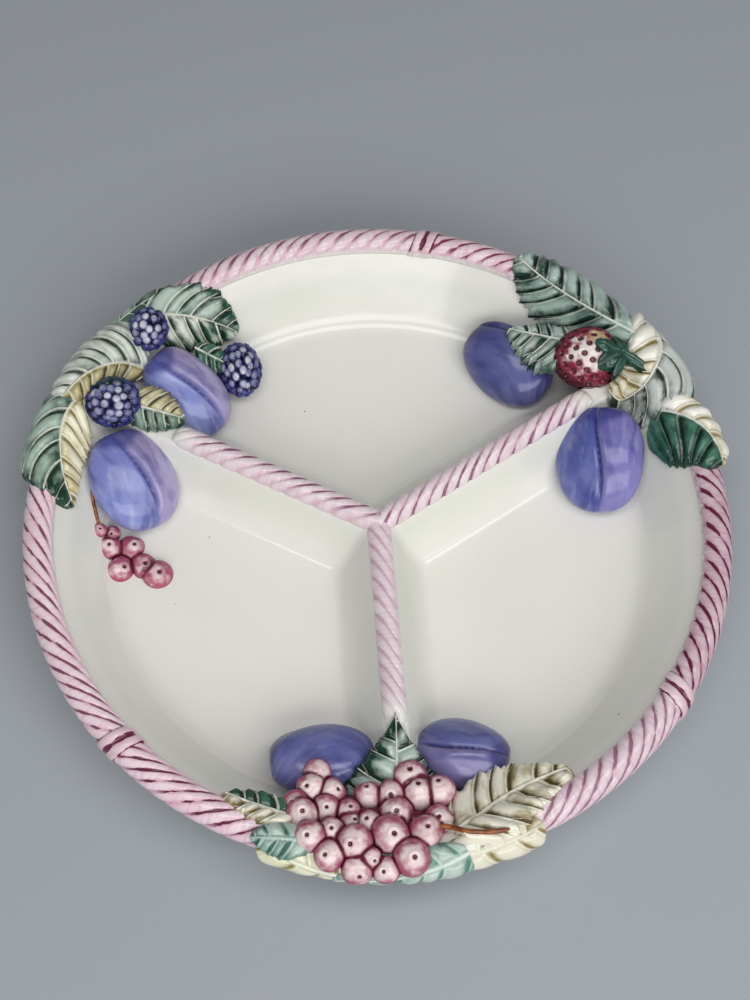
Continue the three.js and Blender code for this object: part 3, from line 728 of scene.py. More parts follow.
def binding(angle):
    x = np.linspace(-BINDING_HALF, BINDING_HALF, BINDING_STEPS)[:, None]
    y = np.linspace(*ROPE_EDGES, ROPE_COLUMNS)[None, :]
    wrap = np.abs(np.sin(np.pi * x / BINDING_HALF))
    end = np.sqrt(np.maximum(0, 1 - (np.abs(x) / BINDING_HALF) ** BINDING_SQUARENESS))
    over = rope_rise(y) * (1.0 + BINDING_SWELL * wrap ** 0.6) * end
    lift = ROPE_SEAT + BINDING_CLEARANCE + over + BINDING_RISE * wrap ** 0.5
    marks = {"groove": smoothstep(*BINDING_GROOVE, wrap) + 0 * y, "crown": wrap + 0 * y,
             "strand": np.round(x / BINDING_HALF) + 0 * y + BINDING_SEED * angle,
             "across": (y + 0 * x) / ACROSS_UNIT, "along": (x + 0 * y) / ALONG_UNIT}
    return rim_skin(angle, x + BINDING_SLANT * (y - ROPE_MIDDLE), y, lift, marks)


print(len(BINDING_ANGLES), "bindings of two wraps")

# %% [markdown]
# The rope's pink is brushed on, thin on each strand's crown. The wine line in each groove is one
# brush stroke: strong at one end, dry at the other. The six lengths were painted one by one, so
# each has its own length of stroke. Their pinks differ too: the right arc's are darker, as painted
# shade, and the left arc's lighter, as painted light. The paint is a function that makes one
# material per length.

# %% Rope glaze
EDGE_CREAM = "#efebe5"
ROPE_STREAKS = (0.2, 0.6)
ROPE_BARE = (0.0, 0.8)
ROPE_BARE_SHARE = 0.9
ROPE_WASH_SIZE, ROPE_WASH = 18.0, 0.45
STROKE_GRAIN = (0.6, 0.3)
STROKE_RAGGED = 1.15
STROKE_SHIFT_GRAIN, STROKE_SHIFT = (0.37, 1.0), 0.3
STROKE_LIGHT_END, STROKE_WEIGHT = 0.35, 0.3
STROKE_EDGE = (0.38, 0.78)
STROKE_BED = (0.02, 0.3)
FEATHER_DRIFT, FEATHER_SCALLOP = 0.14, 0.1
FEATHER_FADE = (-0.36, -0.52)


def rope_paint(light, deep, wine, stroke_share, stroke_ends):
    low, full, fall, end = stroke_ends

    def paint(tree):
        across, strand = mark(tree, "across"), mark(tree, "strand")
        crown, groove = mark(tree, "crown"), mark(tree, "groove")
        streaks = strokes(tree, mark(tree, "along"), across, *ROPE_STREAKS)
        bare = nudged(tree, span(tree, crown, *ROPE_BARE), streaks, 1.0)
        bare = scaled(tree, bare, ROPE_BARE_SHARE, clamp=True)
        base = blend(tree, bare, srgb(deep), srgb(light))
        base = tint(tree, base, deep, blotches(tree, ROPE_WASH_SIZE), ROPE_WASH)
        wet = strokes(tree, strand, across, *STROKE_GRAIN)
        shift = strokes(tree, strand, 0.0, *STROKE_SHIFT_GRAIN)
        shifted = nudged(tree, across, shift, STROKE_SHIFT)
        heavy = scaled(tree, span(tree, shifted, STROKE_LIGHT_END, full), STROKE_WEIGHT)
        ragged = sums(tree, "ADD", nudged(tree, groove, wet, STROKE_RAGGED), heavy)
        begun, dry = span(tree, shifted, low, full), span(tree, shifted, fall, end)
        line = scaled(tree, span(tree, ragged, *STROKE_EDGE), scaled(tree, begun, dry))
        line = scaled(tree, line, span(tree, groove, *STROKE_BED))
        base = blend(tree, scaled(tree, line, stroke_share, clamp=True), base, srgb(wine))
        feather = nudged(tree, across, streaks, FEATHER_DRIFT)
        feather = sums(tree, "ADD", feather, scaled(tree, crown, FEATHER_SCALLOP))
        base = blend(tree, span(tree, feather, *FEATHER_FADE), base, srgb(EDGE_CREAM))
        return blend(tree, mark(tree, "tail"), base, srgb(EDGE_CREAM))
    return paint


print("rope paint for", 2 * len(ROPE_ENDS), "lengths on the rim")

# %% [markdown]
# Each arc of the rim has two lengths of rope with a binding between them. The outer ends are
# rounded and run under the leaves, so that no cut end shows.

# %% Rim ropes
ROPE_BOW = {"back": 0.02, "left": -0.02, "right": 0.02}
# The pinks differ partly by light: the right arc, right_b most, is painted darker as painted shade,
# and the left arc lighter as painted light.
ROPE_ARCS = {
    "back_a": ("#f0dfe3", "#dab0bd", "#85334f", 1.0, (-0.45, -0.25, 1.0, 0.7)),
    "back_b": ("#f0dfe3", "#dab4c0", "#84455f", 0.9, (-0.3, 0.1, 1.0, 0.7)),
    "left_a": ("#fbe9ee", "#eac0cd", "#7a4058", 0.95, (-0.45, -0.2, 0.95, 0.45)),
    "left_b": ("#fae6ec", "#e4b6c5", "#6b2c48", 1.1, (-0.38, -0.15, 0.75, 0.35)),
    "right_a": ("#eddde2", "#d5b0bd", "#8b5f74", 0.85, (-0.42, -0.3, 1.0, 0.6)),
    "right_b": ("#dcc6cd", "#bf90a2", "#651f3b", 1.15, (-0.42, -0.3, 1.0, 0.8)),
}
KNOT_PAINT = ("#ecd6db", "#d3a5b4", "#6d2743", 1.2, (-0.5, -0.4, 1.2, 0.9))

rose_glaze = glaze_material("rose binding glaze", rope_paint(*KNOT_PAINT))
for name, (start, end) in ROPE_ENDS.items():
    knot = BINDING_ANGLES[name]
    for half, ends in (("a", (start, knot)), ("b", (knot, end))):
        arc = f"{name}_{half}"
        pink_glaze = glaze_material(f"pink rope glaze {arc}", rope_paint(*ROPE_ARCS[arc]))
        rope = rim_rope(*ends, ROPE_BOW[name])
        place_piece(f"rope_{arc}", *rope, pink_glaze, "pink_glaze", [f"rim_rope_{arc}"])
    place_piece(f"binding_{name}", *binding(knot), rose_glaze, "rose_glaze",
                [f"rim_binding_{name}"])

# %% [markdown]
# The ropes on the dividers are half-round and straight. They meet at the centre, where the front
# rope slips under the other two.

# %% Divider ropes
DIVIDER_ROPE_HALF = 5.5
DIVIDER_ROPE_RISE = {"right": 5.5, "left": 5.5, "front": 4.95}
DIVIDER_ROPE_STRAND = 8.5
DIVIDER_ROPE_LAY = -1.5
DIVIDER_ROPE_DIP = 0.14
DIVIDER_ROPE_PINCH = 0.07
DIVIDER_ROPE_STEP = 0.5
DIVIDER_ROPE_COLUMNS = 34
DIVIDER_ROPE_START = {"right": -3.5, "left": -3.5, "front": -1.0}
DIVIDER_ROPE_STOP = {"right": 30.0, "left": 46.0, "front": 54.0}
DIVIDER_ROPE_ENDS = (3.5, 9.0)
DIVIDER_ROPE_END_WIDTH = 0.55
DIVIDER_ROPE_SEAT, DIVIDER_ROPE_DEPTH = 0.3, 1.5
DIVIDER_ROPE_SEED = 200
TAIL_FADE = (16.0, 3.0)


def divider_rope(name):
    angle = DIVIDER_ANGLES[name]
    inner, outer = DIVIDER_ROPE_START[name], RIM_RADIUS - DIVIDER_ROPE_STOP[name]
    along = np.linspace(inner, outer, int((outer - inner) / DIVIDER_ROPE_STEP))[:, None]
    bend = np.linspace(-np.pi / 2, np.pi / 2, DIVIDER_ROPE_COLUMNS)[None, :]
    across = DIVIDER_ROPE_HALF * np.sin(bend)
    run = along + DIVIDER_ROPE_SEED * angle
    crown, marks = strand_marks(strand_phase(run, across, DIVIDER_ROPE_LAY, DIVIDER_ROPE_STRAND))
    full = np.minimum(rounded_end(along - inner, DIVIDER_ROPE_ENDS[0]),
                      rounded_end(outer - along, DIVIDER_ROPE_ENDS[1]))
    rise = DIVIDER_ROPE_RISE[name] * np.cos(bend) * (1 - DIVIDER_ROPE_DIP * (1 - crown)) * full
    width = DIVIDER_ROPE_END_WIDTH + (1 - DIVIDER_ROPE_END_WIDTH) * full
    x, y = turned(along, across * (1 - DIVIDER_ROPE_PINCH * (1 - crown)) * width, angle)
    top = np.stack([x, y, DIVIDER_TOP - DIVIDER_ROPE_SEAT + rise], -1)
    bottom = np.stack([x, y, DIVIDER_TOP - DIVIDER_ROPE_DEPTH + 0 * rise], -1)
    marks["across"] = across / ACROSS_UNIT + 0 * along
    marks["along"] = along / ALONG_UNIT + 0 * across
    marks["tail"] = smoothstep(*TAIL_FADE, outer - along) + 0 * across
    return shell(top, bottom, marks)


DIVIDER_PINKS = ("#f1e5e8", "#dfc0cb", "#86506c")
DIVIDER_STROKES = {"right": 0.9, "left": 1.1, "front": 0.25}
ONE_SIDE = (-0.6, -0.5, 0.16, -0.1)
for name, share in DIVIDER_STROKES.items():
    pale_glaze = glaze_material(f"pale rope glaze {name}",
                                rope_paint(*DIVIDER_PINKS, share, ONE_SIDE))
    place_piece(f"divider_rope_skin_{name}", *divider_rope(name), pale_glaze, "pink_glaze",
                [f"divider_rope_{name}"])

# %% [markdown]
# ## Plums
# A plum is an egg with a seam pressed along it and a soft lip on one side of the seam. A
# subdivided sphere would need sculpting, but a grid whose rings run from stalk to tip takes the
# seam as one formula.

# %% Plum shape
PLUM_DEPTH = 13.0
PLUM_SEAM_DEPTH = 2.0
PLUM_SEAM_WIDTH = 0.95
PLUM_SEAM_WANDER = (0.22, 1.4)
PLUM_LIP = 1.5
PLUM_LIP_AT = -2.6
PLUM_LIP_WIDTHS = (1.9, 5.0)
PLUM_DIMPLE_SIZE, PLUM_DIMPLE_DEPTH = 0.22, 2.0
PLUM_LUMPS = 0.5
PLUM_FULLNESS = 0.82
PLUM_INSET = 0.4
PLUM_HALVES = (-2.0, 2.0)
PLUM_HEAD, PLUM_HEAD_SPREAD = (1.1, 0.85), 0.35
PLUM_FOOT = (2.4, 0.4)
PLUM_RINGS, PLUM_COLUMNS = 90, 170
PLUM_POLE_GAP = 0.03
PLUMS = {
    "plum_left_back":
        dict(spray="left", head=(-24, 13, above_rim(0)), tail=(-24, 56, above_floor(5)), width=34,
             lean=0.4, seam=8),
    "plum_left_front":
        dict(spray="left", head=(24, 19, above_rim(-4)), tail=(70, 48, above_floor(5)), width=42,
             lean=0.4, seam=6),
    "plum_right_back":
        dict(spray="right", head=(80, 30, above_floor(9.5)), tail=(17, 40, above_floor(10)),
             width=36, lean=0.6, seam=-52),
    "plum_right_front":
        dict(spray="right", head=(-18, 27, above_rim(-4)), tail=(-76, 47, above_floor(5)),
             width=43, lean=0.4, seam=2),
    "plum_front_left":
        dict(spray="front", head=(-73, 31, above_floor(13.5)), tail=(-13, 47, above_floor(11)),
             width=34, lean=0.6, seam=-62),
    "plum_front_right":
        dict(spray="front", head=(60, 27, above_floor(15.5)), tail=(13, 50, above_floor(11)),
             width=36, lean=0.6, seam=-18),
}


def plum_frame(spray, head, tail, lean):
    high, low = plan_point(spray, *head), plan_point(spray, *tail)
    centre = (high + low) / 2
    along = high - low
    half = np.linalg.norm(along) / 2
    along = along / (2 * half)
    out = np.array([0, 0, 1.0]) + lean * normalised(-centre * [1, 1, 0])
    out = normalised(out - along * (out @ along))
    return centre, half, along, np.cross(out, along), out


def plum(spray, head, tail, width, lean, seam):
    centre, half, along, wide, out = plum_frame(spray, head, tail, lean)
    pole = np.linspace(PLUM_POLE_GAP, np.pi - PLUM_POLE_GAP, PLUM_RINGS)[:, None]
    around = np.linspace(-np.pi, np.pi, PLUM_COLUMNS, endpoint=False)[None, :]
    sway, pace = PLUM_SEAM_WANDER
    wander = math.radians(seam) + sway * np.cos(pole * pace)
    gap = (around - wander) * np.sin(pole) * width / 2
    crease = bell(gap, PLUM_SEAM_WIDTH)
    lip = bell(gap - PLUM_LIP_AT, np.where(gap > PLUM_LIP_AT, *PLUM_LIP_WIDTHS))
    dimple = PLUM_DIMPLE_DEPTH * bell(pole, PLUM_DIMPLE_SIZE)
    swell = (PLUM_LIP * lip - PLUM_SEAM_DEPTH * crease) * np.sin(pole) ** 0.6
    swell = swell + PLUM_LUMPS * np.sin(3 * around + 2 * pole) * np.sin(pole) ** 2
    ring = np.sin(pole) ** PLUM_FULLNESS
    side = (width / 2 - PLUM_INSET + swell) * ring * np.sin(around)
    up = (PLUM_DEPTH - PLUM_INSET + swell) * ring * np.cos(around)
    points = centre + ((half - dimple) * np.cos(pole) + 0 * around)[..., None] * along
    points = points + side[..., None] * wide + up[..., None] * out
    height = points[..., 2] - clay_height(points[..., 0], points[..., 1])
    from_head = pole + PLUM_HEAD_SPREAD * np.abs(around - math.radians(seam))
    marks = {
        "seam": crease * np.sin(pole),
        "half": smoothstep(*PLUM_HALVES, gap),
        "along": np.cos(pole) * half / ALONG_UNIT + 0 * around,
        "around": gap / ALONG_UNIT,
        "head": smoothstep(*PLUM_HEAD, from_head),
        "foot": smoothstep(*PLUM_FOOT, height),
    }
    return globe(points, marks)


print(len(PLUMS), "plums")

# %% [markdown]
# Plums are painted with long strokes, blue on one half and violet on the other. The glaze is dark
# in the seam and thins to white where the plum meets the dish.

# %% Plum glaze
BROAD_STROKES, DRY_STROKES = (2.2, 0.9), (1.5, 0.55)
PLUM_CLOUD = 15.0
PLUM_FOOT_WHITE = "#e3e2ea"
PLUM_ROUGHNESS = 0.17
PLUM_COLOURS = {
    "left": ("#7180c6", "#a495c2", "#474a90", "#c9c9e4"),
    "right": ("#4252a0", "#7b74b6", "#363c84", "#a9abd2"),
    "front": ("#535c9f", "#7b72a6", "#403f78", "#a6a2c8"),
    "dark": ("#4d5391", "#575284", "#353866", "#8484ac"),
}


def plum_paint(blue, violet, dark, pale):
    def paint(tree):
        along, around = mark(tree, "along"), mark(tree, "around")
        broad = strokes(tree, along, around, *BROAD_STROKES)
        dry = strokes(tree, along, around, *DRY_STROKES)
        cloud = blotches(tree, PLUM_CLOUD)
        edge = nudged(tree, mark(tree, "half"), cloud, 0.4)
        base = blend(tree, edge, srgb(violet), srgb(blue))
        base = tint(tree, base, pale, cloud, 0.35)
        base = tint(tree, base, dark, span(tree, broad, 0.3, 1.0), 0.6)
        base = tint(tree, base, pale, span(tree, dry, 0.6, 1.0), 0.3)
        base = tint(tree, base, dark, mark(tree, "head"), 0.8)
        base = tint(tree, base, dark, mark(tree, "seam"), 0.9)
        return tint(tree, base, PLUM_FOOT_WHITE, mark(tree, "foot"), 0.75)
    return paint


PLUM_GLAZES = {
    key: glaze_material(f"plum glaze {key}", plum_paint(*colours), roughness=PLUM_ROUGHNESS)
    for key, colours in PLUM_COLOURS.items()}
for name, shape in PLUMS.items():
    glaze = PLUM_GLAZES["dark" if name == "plum_right_back" else shape["spray"]]
    place_piece(name + "_skin", *plum(**shape), glaze, "plum_glaze", [name])

# %% [markdown]
# ## Leaves
# A leaf follows its midrib, a curve on the rim chart. Its veins stand up as thin ridges with a
# hollow beside them, and the blade swells between the veins like a quilt. All of that is one
# height formula on a fine grid, so the veins are real relief, and the same numbers become the
# marks for the glaze.

# %% Leaf shape
LEAF_COLUMNS = 190
LEAF_ROWS = 120
LEAF_BELLY = 0.45
LEAF_TAPER = 0.65
LEAF_TEETH = (0.1, 0.1)
LEAF_CROWN = 1.2
LEAF_PUFF = 1.7
LEAF_RIDGE = 0.7
LEAF_EDGE = 1.8
LEAF_SINK = 1.5
LEAF_SETTLE = 1.0
VEIN_SWEEP = 0.35
VEIN_ARCH = 0.018
VEIN_WIDTH = 0.4
VEIN_START = 0.35
VEIN_SPARE = 0.6
VEIN_STAGGER = 0.35
VEIN_WANDER, VEIN_PACE = 0.14, 2.2
FORK_START = 0.58
FORK_SPREAD = 0.36
FORK_SHARE, FORK_WIDTH = 0.7, 0.3
RIB_WIDTH, RIB_TAPER = 0.76, 0.44
DEEP_AT, DEEP_WIDTH = 1.0, 0.8
SHALLOW_AT, SHALLOW_WIDTH, SHALLOW_SHARE = -0.8, 0.4, 0.35
RIB_SIDE_AT, RIB_SIDE_WIDTH, RIB_SIDE_SHARE = 1.6, 0.5, 0.6
HOLLOW_DEPTH = 0.7
TOOTH_PEAK = 0.2
SMALL_TEETH = 0.45


def vein_phase(u, away, length, veins, left):
    """Counts side veins along a leaf; the two sides are out of step and the spacing wanders"""
    run = u * length - VEIN_SWEEP * away - VEIN_ARCH * away * away
    stagger = np.where(left, 0.0, VEIN_STAGGER)
    phase = run * (veins + VEIN_SPARE) / length - VEIN_START + stagger
    return phase + VEIN_WANDER * np.sin(VEIN_PACE * phase + np.where(left, 0.6, 2.0))


def tooth_notch(phase):
    f = phase % 1.0
    return np.where(f < TOOTH_PEAK, f / TOOTH_PEAK, (1 - f) / (1 - TOOTH_PEAK))


def leaf_outline(u, width, belly, taper, length, veins, left, tooth):
    bend = math.log(0.5) / math.log(belly)
    smooth = width * np.sin(np.pi * (0.03 + 0.965 * u) ** bend) ** taper
    phase = vein_phase(u, smooth, length, veins, left)
    notch = tooth_notch(phase) + SMALL_TEETH * tooth_notch(2 * phase)
    return smooth * (1 - tooth * notch * smoothstep(0.02, 0.2, u) * smoothstep(1.0, 0.9, u))


def leaf_relief(u, t, half, length, veins, puff):
    """Height and marks of a blade at u along its midrib and t millimetres to one side"""
    away = np.abs(t)
    share = away / np.maximum(half, 0.01)
    spacing = length / (veins + VEIN_SPARE)
    phase = vein_phase(u, away, length, veins, t > 0)
    f = phase - np.floor(phase)
    offset = (phase - np.round(phase)) * spacing
    begun = smoothstep(-0.6, 0.0, phase)
    fork_gap = (f - FORK_SPREAD * (share - FORK_START) / (1 - FORK_START)) * spacing
    fork = bell(fork_gap, FORK_WIDTH) * smoothstep(FORK_START, FORK_START + 0.1, share)
    side_vein = np.maximum(bell(offset, VEIN_WIDTH), FORK_SHARE * fork)
    side_vein = side_vein * smoothstep(1.0, 0.85, share) * begun
    rib_width = RIB_WIDTH - RIB_TAPER * u
    midrib = bell(away, rib_width) * smoothstep(1.0, 0.93, u)
    vein = np.maximum(side_vein, midrib)
    shallow = SHALLOW_SHARE * bell(offset - SHALLOW_AT, SHALLOW_WIDTH)
    beside = np.maximum(bell(offset - DEEP_AT, DEEP_WIDTH), shallow)
    beside = beside * smoothstep(1.05, 0.9, share) * begun * smoothstep(0.2, 1.2, away)
    rib_side = RIB_SIDE_SHARE * bell(away - RIB_SIDE_AT * rib_width, RIB_SIDE_WIDTH)
    beside = np.maximum(beside, rib_side)
    pillow = np.sin(np.pi * f ** 1.2) ** 1.1
    # shade marks the side of each panel just after its vein, which the glaze paints darker, partly
    # pooled glaze and partly painted shade; the puff beyond is left pale, partly as painted
    # highlight.
    shade = smoothstep(0.55, 0.05, f) + 0.25 * smoothstep(0.85, 1.0, f)
    quilt = pillow * smoothstep(0, 3, away) * smoothstep(1.0, 0.7, share)
    crown = LEAF_CROWN * (1 - 1.4 * share ** 2)
    edge = LEAF_EDGE * (1 - rounded_end((1 - share) * half, LEAF_EDGE))
    bulge = puff * (LEAF_PUFF * quilt + LEAF_RIDGE * vein - HOLLOW_DEPTH * beside)
    marks = {
        "vein": side_vein,
        "rib": midrib,
        "groove": np.clip(beside - 0.5 * vein, 0, 1),
        "hollow": shade * smoothstep(0.3, 2, away) * begun,
        "edge": share,
        "side": np.where(t > 0, 1.0, 0.0) + 0 * u,
        "along": u + 0 * t,
        "panel": phase,
        "out": away / ALONG_UNIT,
    }
    return crown + bulge - edge - LEAF_SETTLE, marks


print("leaf relief:", LEAF_PUFF, "mm between the veins and", LEAF_RIDGE, "mm on them")

# %% [markdown]
# A leaf on the rim bends along its midrib. Its grid is laid out flat on the chart, and the chart
# carries it over the rolled edge. On the wall it is also held above the fillets.

# %% Leaves on the rim
LEAF_LEAST_LIFT = 0.3


def leaf_grid(left, right, belly, taper, length, veins, teeth):
    u = np.linspace(0, 1, LEAF_COLUMNS)[:, None]
    v = np.linspace(-1, 1, LEAF_ROWS)[None, :]
    half = np.where(v > 0, leaf_outline(u, left, belly, taper, length, veins, True, teeth[0]),
                    leaf_outline(u, right, belly, taper, length, veins, False, teeth[1]))
    return u, v * half, half


def rim_leaf(spray, base, bend, tip, left, right, layer=0.0, belly=LEAF_BELLY, taper=LEAF_TAPER,
             veins=6, fan=0.85, teeth=LEAF_TEETH, puff=1.0, root=0.0):
    a, b, c = (np.array(p, float) for p in (base, bend, tip))
    legs = np.linalg.norm(b - a) + np.linalg.norm(c - b) + np.linalg.norm(c - a)
    length = 0.375 * legs
    u, t, half = leaf_grid(left, right, belly, taper, length, veins, teeth)
    place = (1 - u) ** 2 * a + 2 * u * (1 - u) * b + u * u * c
    heading = normalised(2 * (1 - u) * (b - a) + 2 * u * (c - b))
    heading = normalised(fan * heading + (1 - fan) * heading[LEAF_COLUMNS // 2])
    x = place[:, :1] - heading[:, 1:] * t
    y = place[:, 1:] + heading[:, :1] * t
    height, marks = leaf_relief(u, t, half, length, veins, puff)
    height = height - root * smoothstep(0.16, 0.0, u)
    lift = np.maximum(relief(spray, y) + layer + height, LEAF_LEAST_LIFT)
    angle = SPRAY_ANGLES[spray]
    top = rim_point(angle, x, y, lift)
    clay = clay_height(top[..., 0], top[..., 1])
    clay = clay + np.maximum(WALL_RELIEF + layer + height, LEAF_LEAST_LIFT)
    top[..., 2] = np.where(y < WALL_START, np.maximum(top[..., 2], clay), top[..., 2])
    return shell(top, rim_point(angle, x, y, 0 * lift - LEAF_SINK), marks)


print("leaf grid", LEAF_COLUMNS, "by", LEAF_ROWS)

# %% [markdown]
# A perched leaf is laid straight between two places. Where it rests on a plum, the smooth maximum
# of the dish bends the blade over the plum's upper side.

# %% Leaves on fruit
PERCH_THICKNESS = 3.5
PERCH_GAP, PERCH_BLEND = 1.0, 3.0
MISSED = -100.0


def plum_top(name, x, y):
    """Height of a plum's upper side at plan points, far below where it is missed"""
    shape = PLUMS[name]
    centre, half, along, wide, out = plum_frame(shape["spray"], shape["head"], shape["tail"],
                                                shape["lean"])
    axes = np.stack([along / half, wide / (shape["width"] / 2), out / PLUM_DEPTH])
    flat = np.stack([x - centre[0], y - centre[1]], -1) @ axes[:, :2].T
    lift = axes[:, 2]
    a = lift @ lift
    b = flat @ lift
    c = np.sum(flat * flat, -1) - 1
    room = b * b - a * c
    return np.where(room > 0, centre[2] + (np.sqrt(np.maximum(room, 0)) - b) / a, MISSED)


def perched_leaf(spray, base, tip, left, right, droop=0.12, belly=LEAF_BELLY, taper=LEAF_TAPER,
                 veins=5, rests_on=(), teeth=LEAF_TEETH, puff=1.0):
    start, end = plan_point(spray, *base), plan_point(spray, *tip)
    run = end - start
    length = np.linalg.norm(run)
    side = normalised(np.cross([0, 0, 1], run))
    u, t, half = leaf_grid(left, right, belly, taper, length, veins, teeth)
    height, marks = leaf_relief(u, t, half, length, veins, puff)
    points = start + u[..., None] * run + t[..., None] * side
    points[..., 2] -= droop * t * t / max(left, right)
    for name in rests_on:
        under = plum_top(name, points[..., 0], points[..., 1]) + PERCH_GAP
        points[..., 2] = smooth_max(points[..., 2], under, PERCH_BLEND)
    top, bottom = points.copy(), points.copy()
    top[..., 2] += height + LEAF_SETTLE
    bottom[..., 2] -= PERCH_THICKNESS
    return shell(top, bottom, marks)


print("perched leaves are", PERCH_THICKNESS, "mm thick")

# %% [markdown]
# A leaf's two halves often differ: one green, one ochre. Each half runs from a pale middle to a
# deeper margin and tip. The veins stay ivory, because the glaze runs off them, and it gathers in
# the hollow on one side of each vein. Each panel between veins is also darker just after its vein
# and pale on its puff, partly gathered glaze and partly painted shade and painted highlight.

# %% Leaf glaze
LEAF_STROKES = (0.9, 0.4)
LEAF_CLOUD, VEIN_WEAR = 13.0, 4.0
VEIN_PAINT = (0.3, 0.8)


def leaf_paint_group():
    sockets = [("Pale Left", COLOUR, WHITE), ("Deep Left", COLOUR, BLACK),
               ("Pale Right", COLOUR, WHITE), ("Deep Right", COLOUR, BLACK),
               ("Groove Left", COLOUR, BLACK), ("Groove Right", COLOUR, BLACK),
               ("Vein", COLOUR, WHITE), ("Tip", FLOAT, 0.5), ("Base", FLOAT, 0.0),
               ("Margin", FLOAT, 0.5), ("Depth", FLOAT, 0.1), ("Hollow", FLOAT, 0.85),
               ("Vein Share", FLOAT, 0.7)]
    tree, given, out = new_group("leaf paint", sockets, [("Color", COLOUR)])
    along, side = mark(tree, "along"), mark(tree, "side")
    deep = given["Depth"]
    # Hollow adds each panel's painted shade; Tip, Base and Margin are the leaf's own deeper paint.
    for share, strength in ((span(tree, along, 0.5, 0.95), "Tip"),
                            (span(tree, along, 0.35, 0.05), "Base"),
                            (span(tree, mark(tree, "edge"), 0.5, 1.0), "Margin"),
                            (mark(tree, "hollow"), "Hollow")):
        deep = sums(tree, "ADD", deep, scaled(tree, share, given[strength]))
    streaks = strokes(tree, mark(tree, "out"), mark(tree, "panel"), *LEAF_STROKES)
    deep = nudged(tree, deep, streaks, 0.5)
    deep = nudged(tree, deep, blotches(tree, LEAF_CLOUD), 1.1, clamp=True)
    left = blend(tree, deep, given["Pale Left"], given["Deep Left"])
    right = blend(tree, deep, given["Pale Right"], given["Deep Right"])
    base = blend(tree, side, right, left)
    pooled = scaled(tree, mark(tree, "groove"), sums(tree, "ADD", deep, 0.45), clamp=True)
    groove = blend(tree, side, given["Groove Right"], given["Groove Left"])
    base = blend(tree, pooled, base, groove)
    vein = scaled(tree, span(tree, mark(tree, "vein"), *VEIN_PAINT), given["Vein Share"])
    vein = sums(tree, "MAXIMUM", vein, span(tree, mark(tree, "rib"), *VEIN_PAINT))
    worn = sums(tree, "ADD", scaled(tree, blotches(tree, VEIN_WEAR), 0.6), 0.5)
    vein = scaled(tree, vein, worn, clamp=True)
    tree.links.new(blend(tree, vein, base, given["Vein"]), out["Color"])
    return tree


LEAF_PAINT = leaf_paint_group()
LEAF_ROUGHNESS = 0.14
IVORY, BISCUIT = "#ecebdd", "#ece8d2"


def leaf_glaze(name, left, right, groove, right_groove=None, vein=IVORY, tip=0.4, base=0.0,
               margin=0.4, depth=0.0, hollow=0.85, vein_share=0.9):
    def paint(tree):
        return use_group(tree, LEAF_PAINT, Pale_Left=srgb(left[0]), Deep_Left=srgb(left[1]),
                         Pale_Right=srgb(right[0]), Deep_Right=srgb(right[1]),
                         Groove_Left=srgb(groove), Groove_Right=srgb(right_groove or groove),
                         Vein=srgb(vein), Tip=tip, Base=base, Margin=margin, Depth=depth,
                         Hollow=hollow, Vein_Share=vein_share)["Color"]
    return glaze_material(name + " glaze", paint, wave_size=5.0, wave_depth=0.16,
                          roughness=LEAF_ROUGHNESS)


print("leaf paint sockets:", len(LEAF_PAINT.interface.items_tree))

# %% [markdown]
# Now the leaves themselves. Base, bend and tip are places on the rim chart, and layer raises a
# leaf over its neighbours.

# %% Rim leaves
GREEN_LEFT = ("#a9c0af", "#12402d")
GREEN_DEEP = ("#47765f", "#0c3324")
SAGE = ("#d3dace", "#4e6657")
OCHRE = ("#c3ba88", "#5f5730")
STRAW = ("#f1eed2", "#d2c794")
TEAL = ("#b6c9c0", "#153c31")
CREAM_LEAF = ("#efecdc", "#b5a67a")
BONE = ("#efebd8", "#8f8049")
SEA = ("#b9ccc1", "#5a8577")
IVORY_LEAF = ("#e9e9cc", "#c3bd86")
DARK_GROOVE, OLIVE_GROOVE = "#0f2c21", "#54461f"
SMOOTH = (0.0, 0.0)

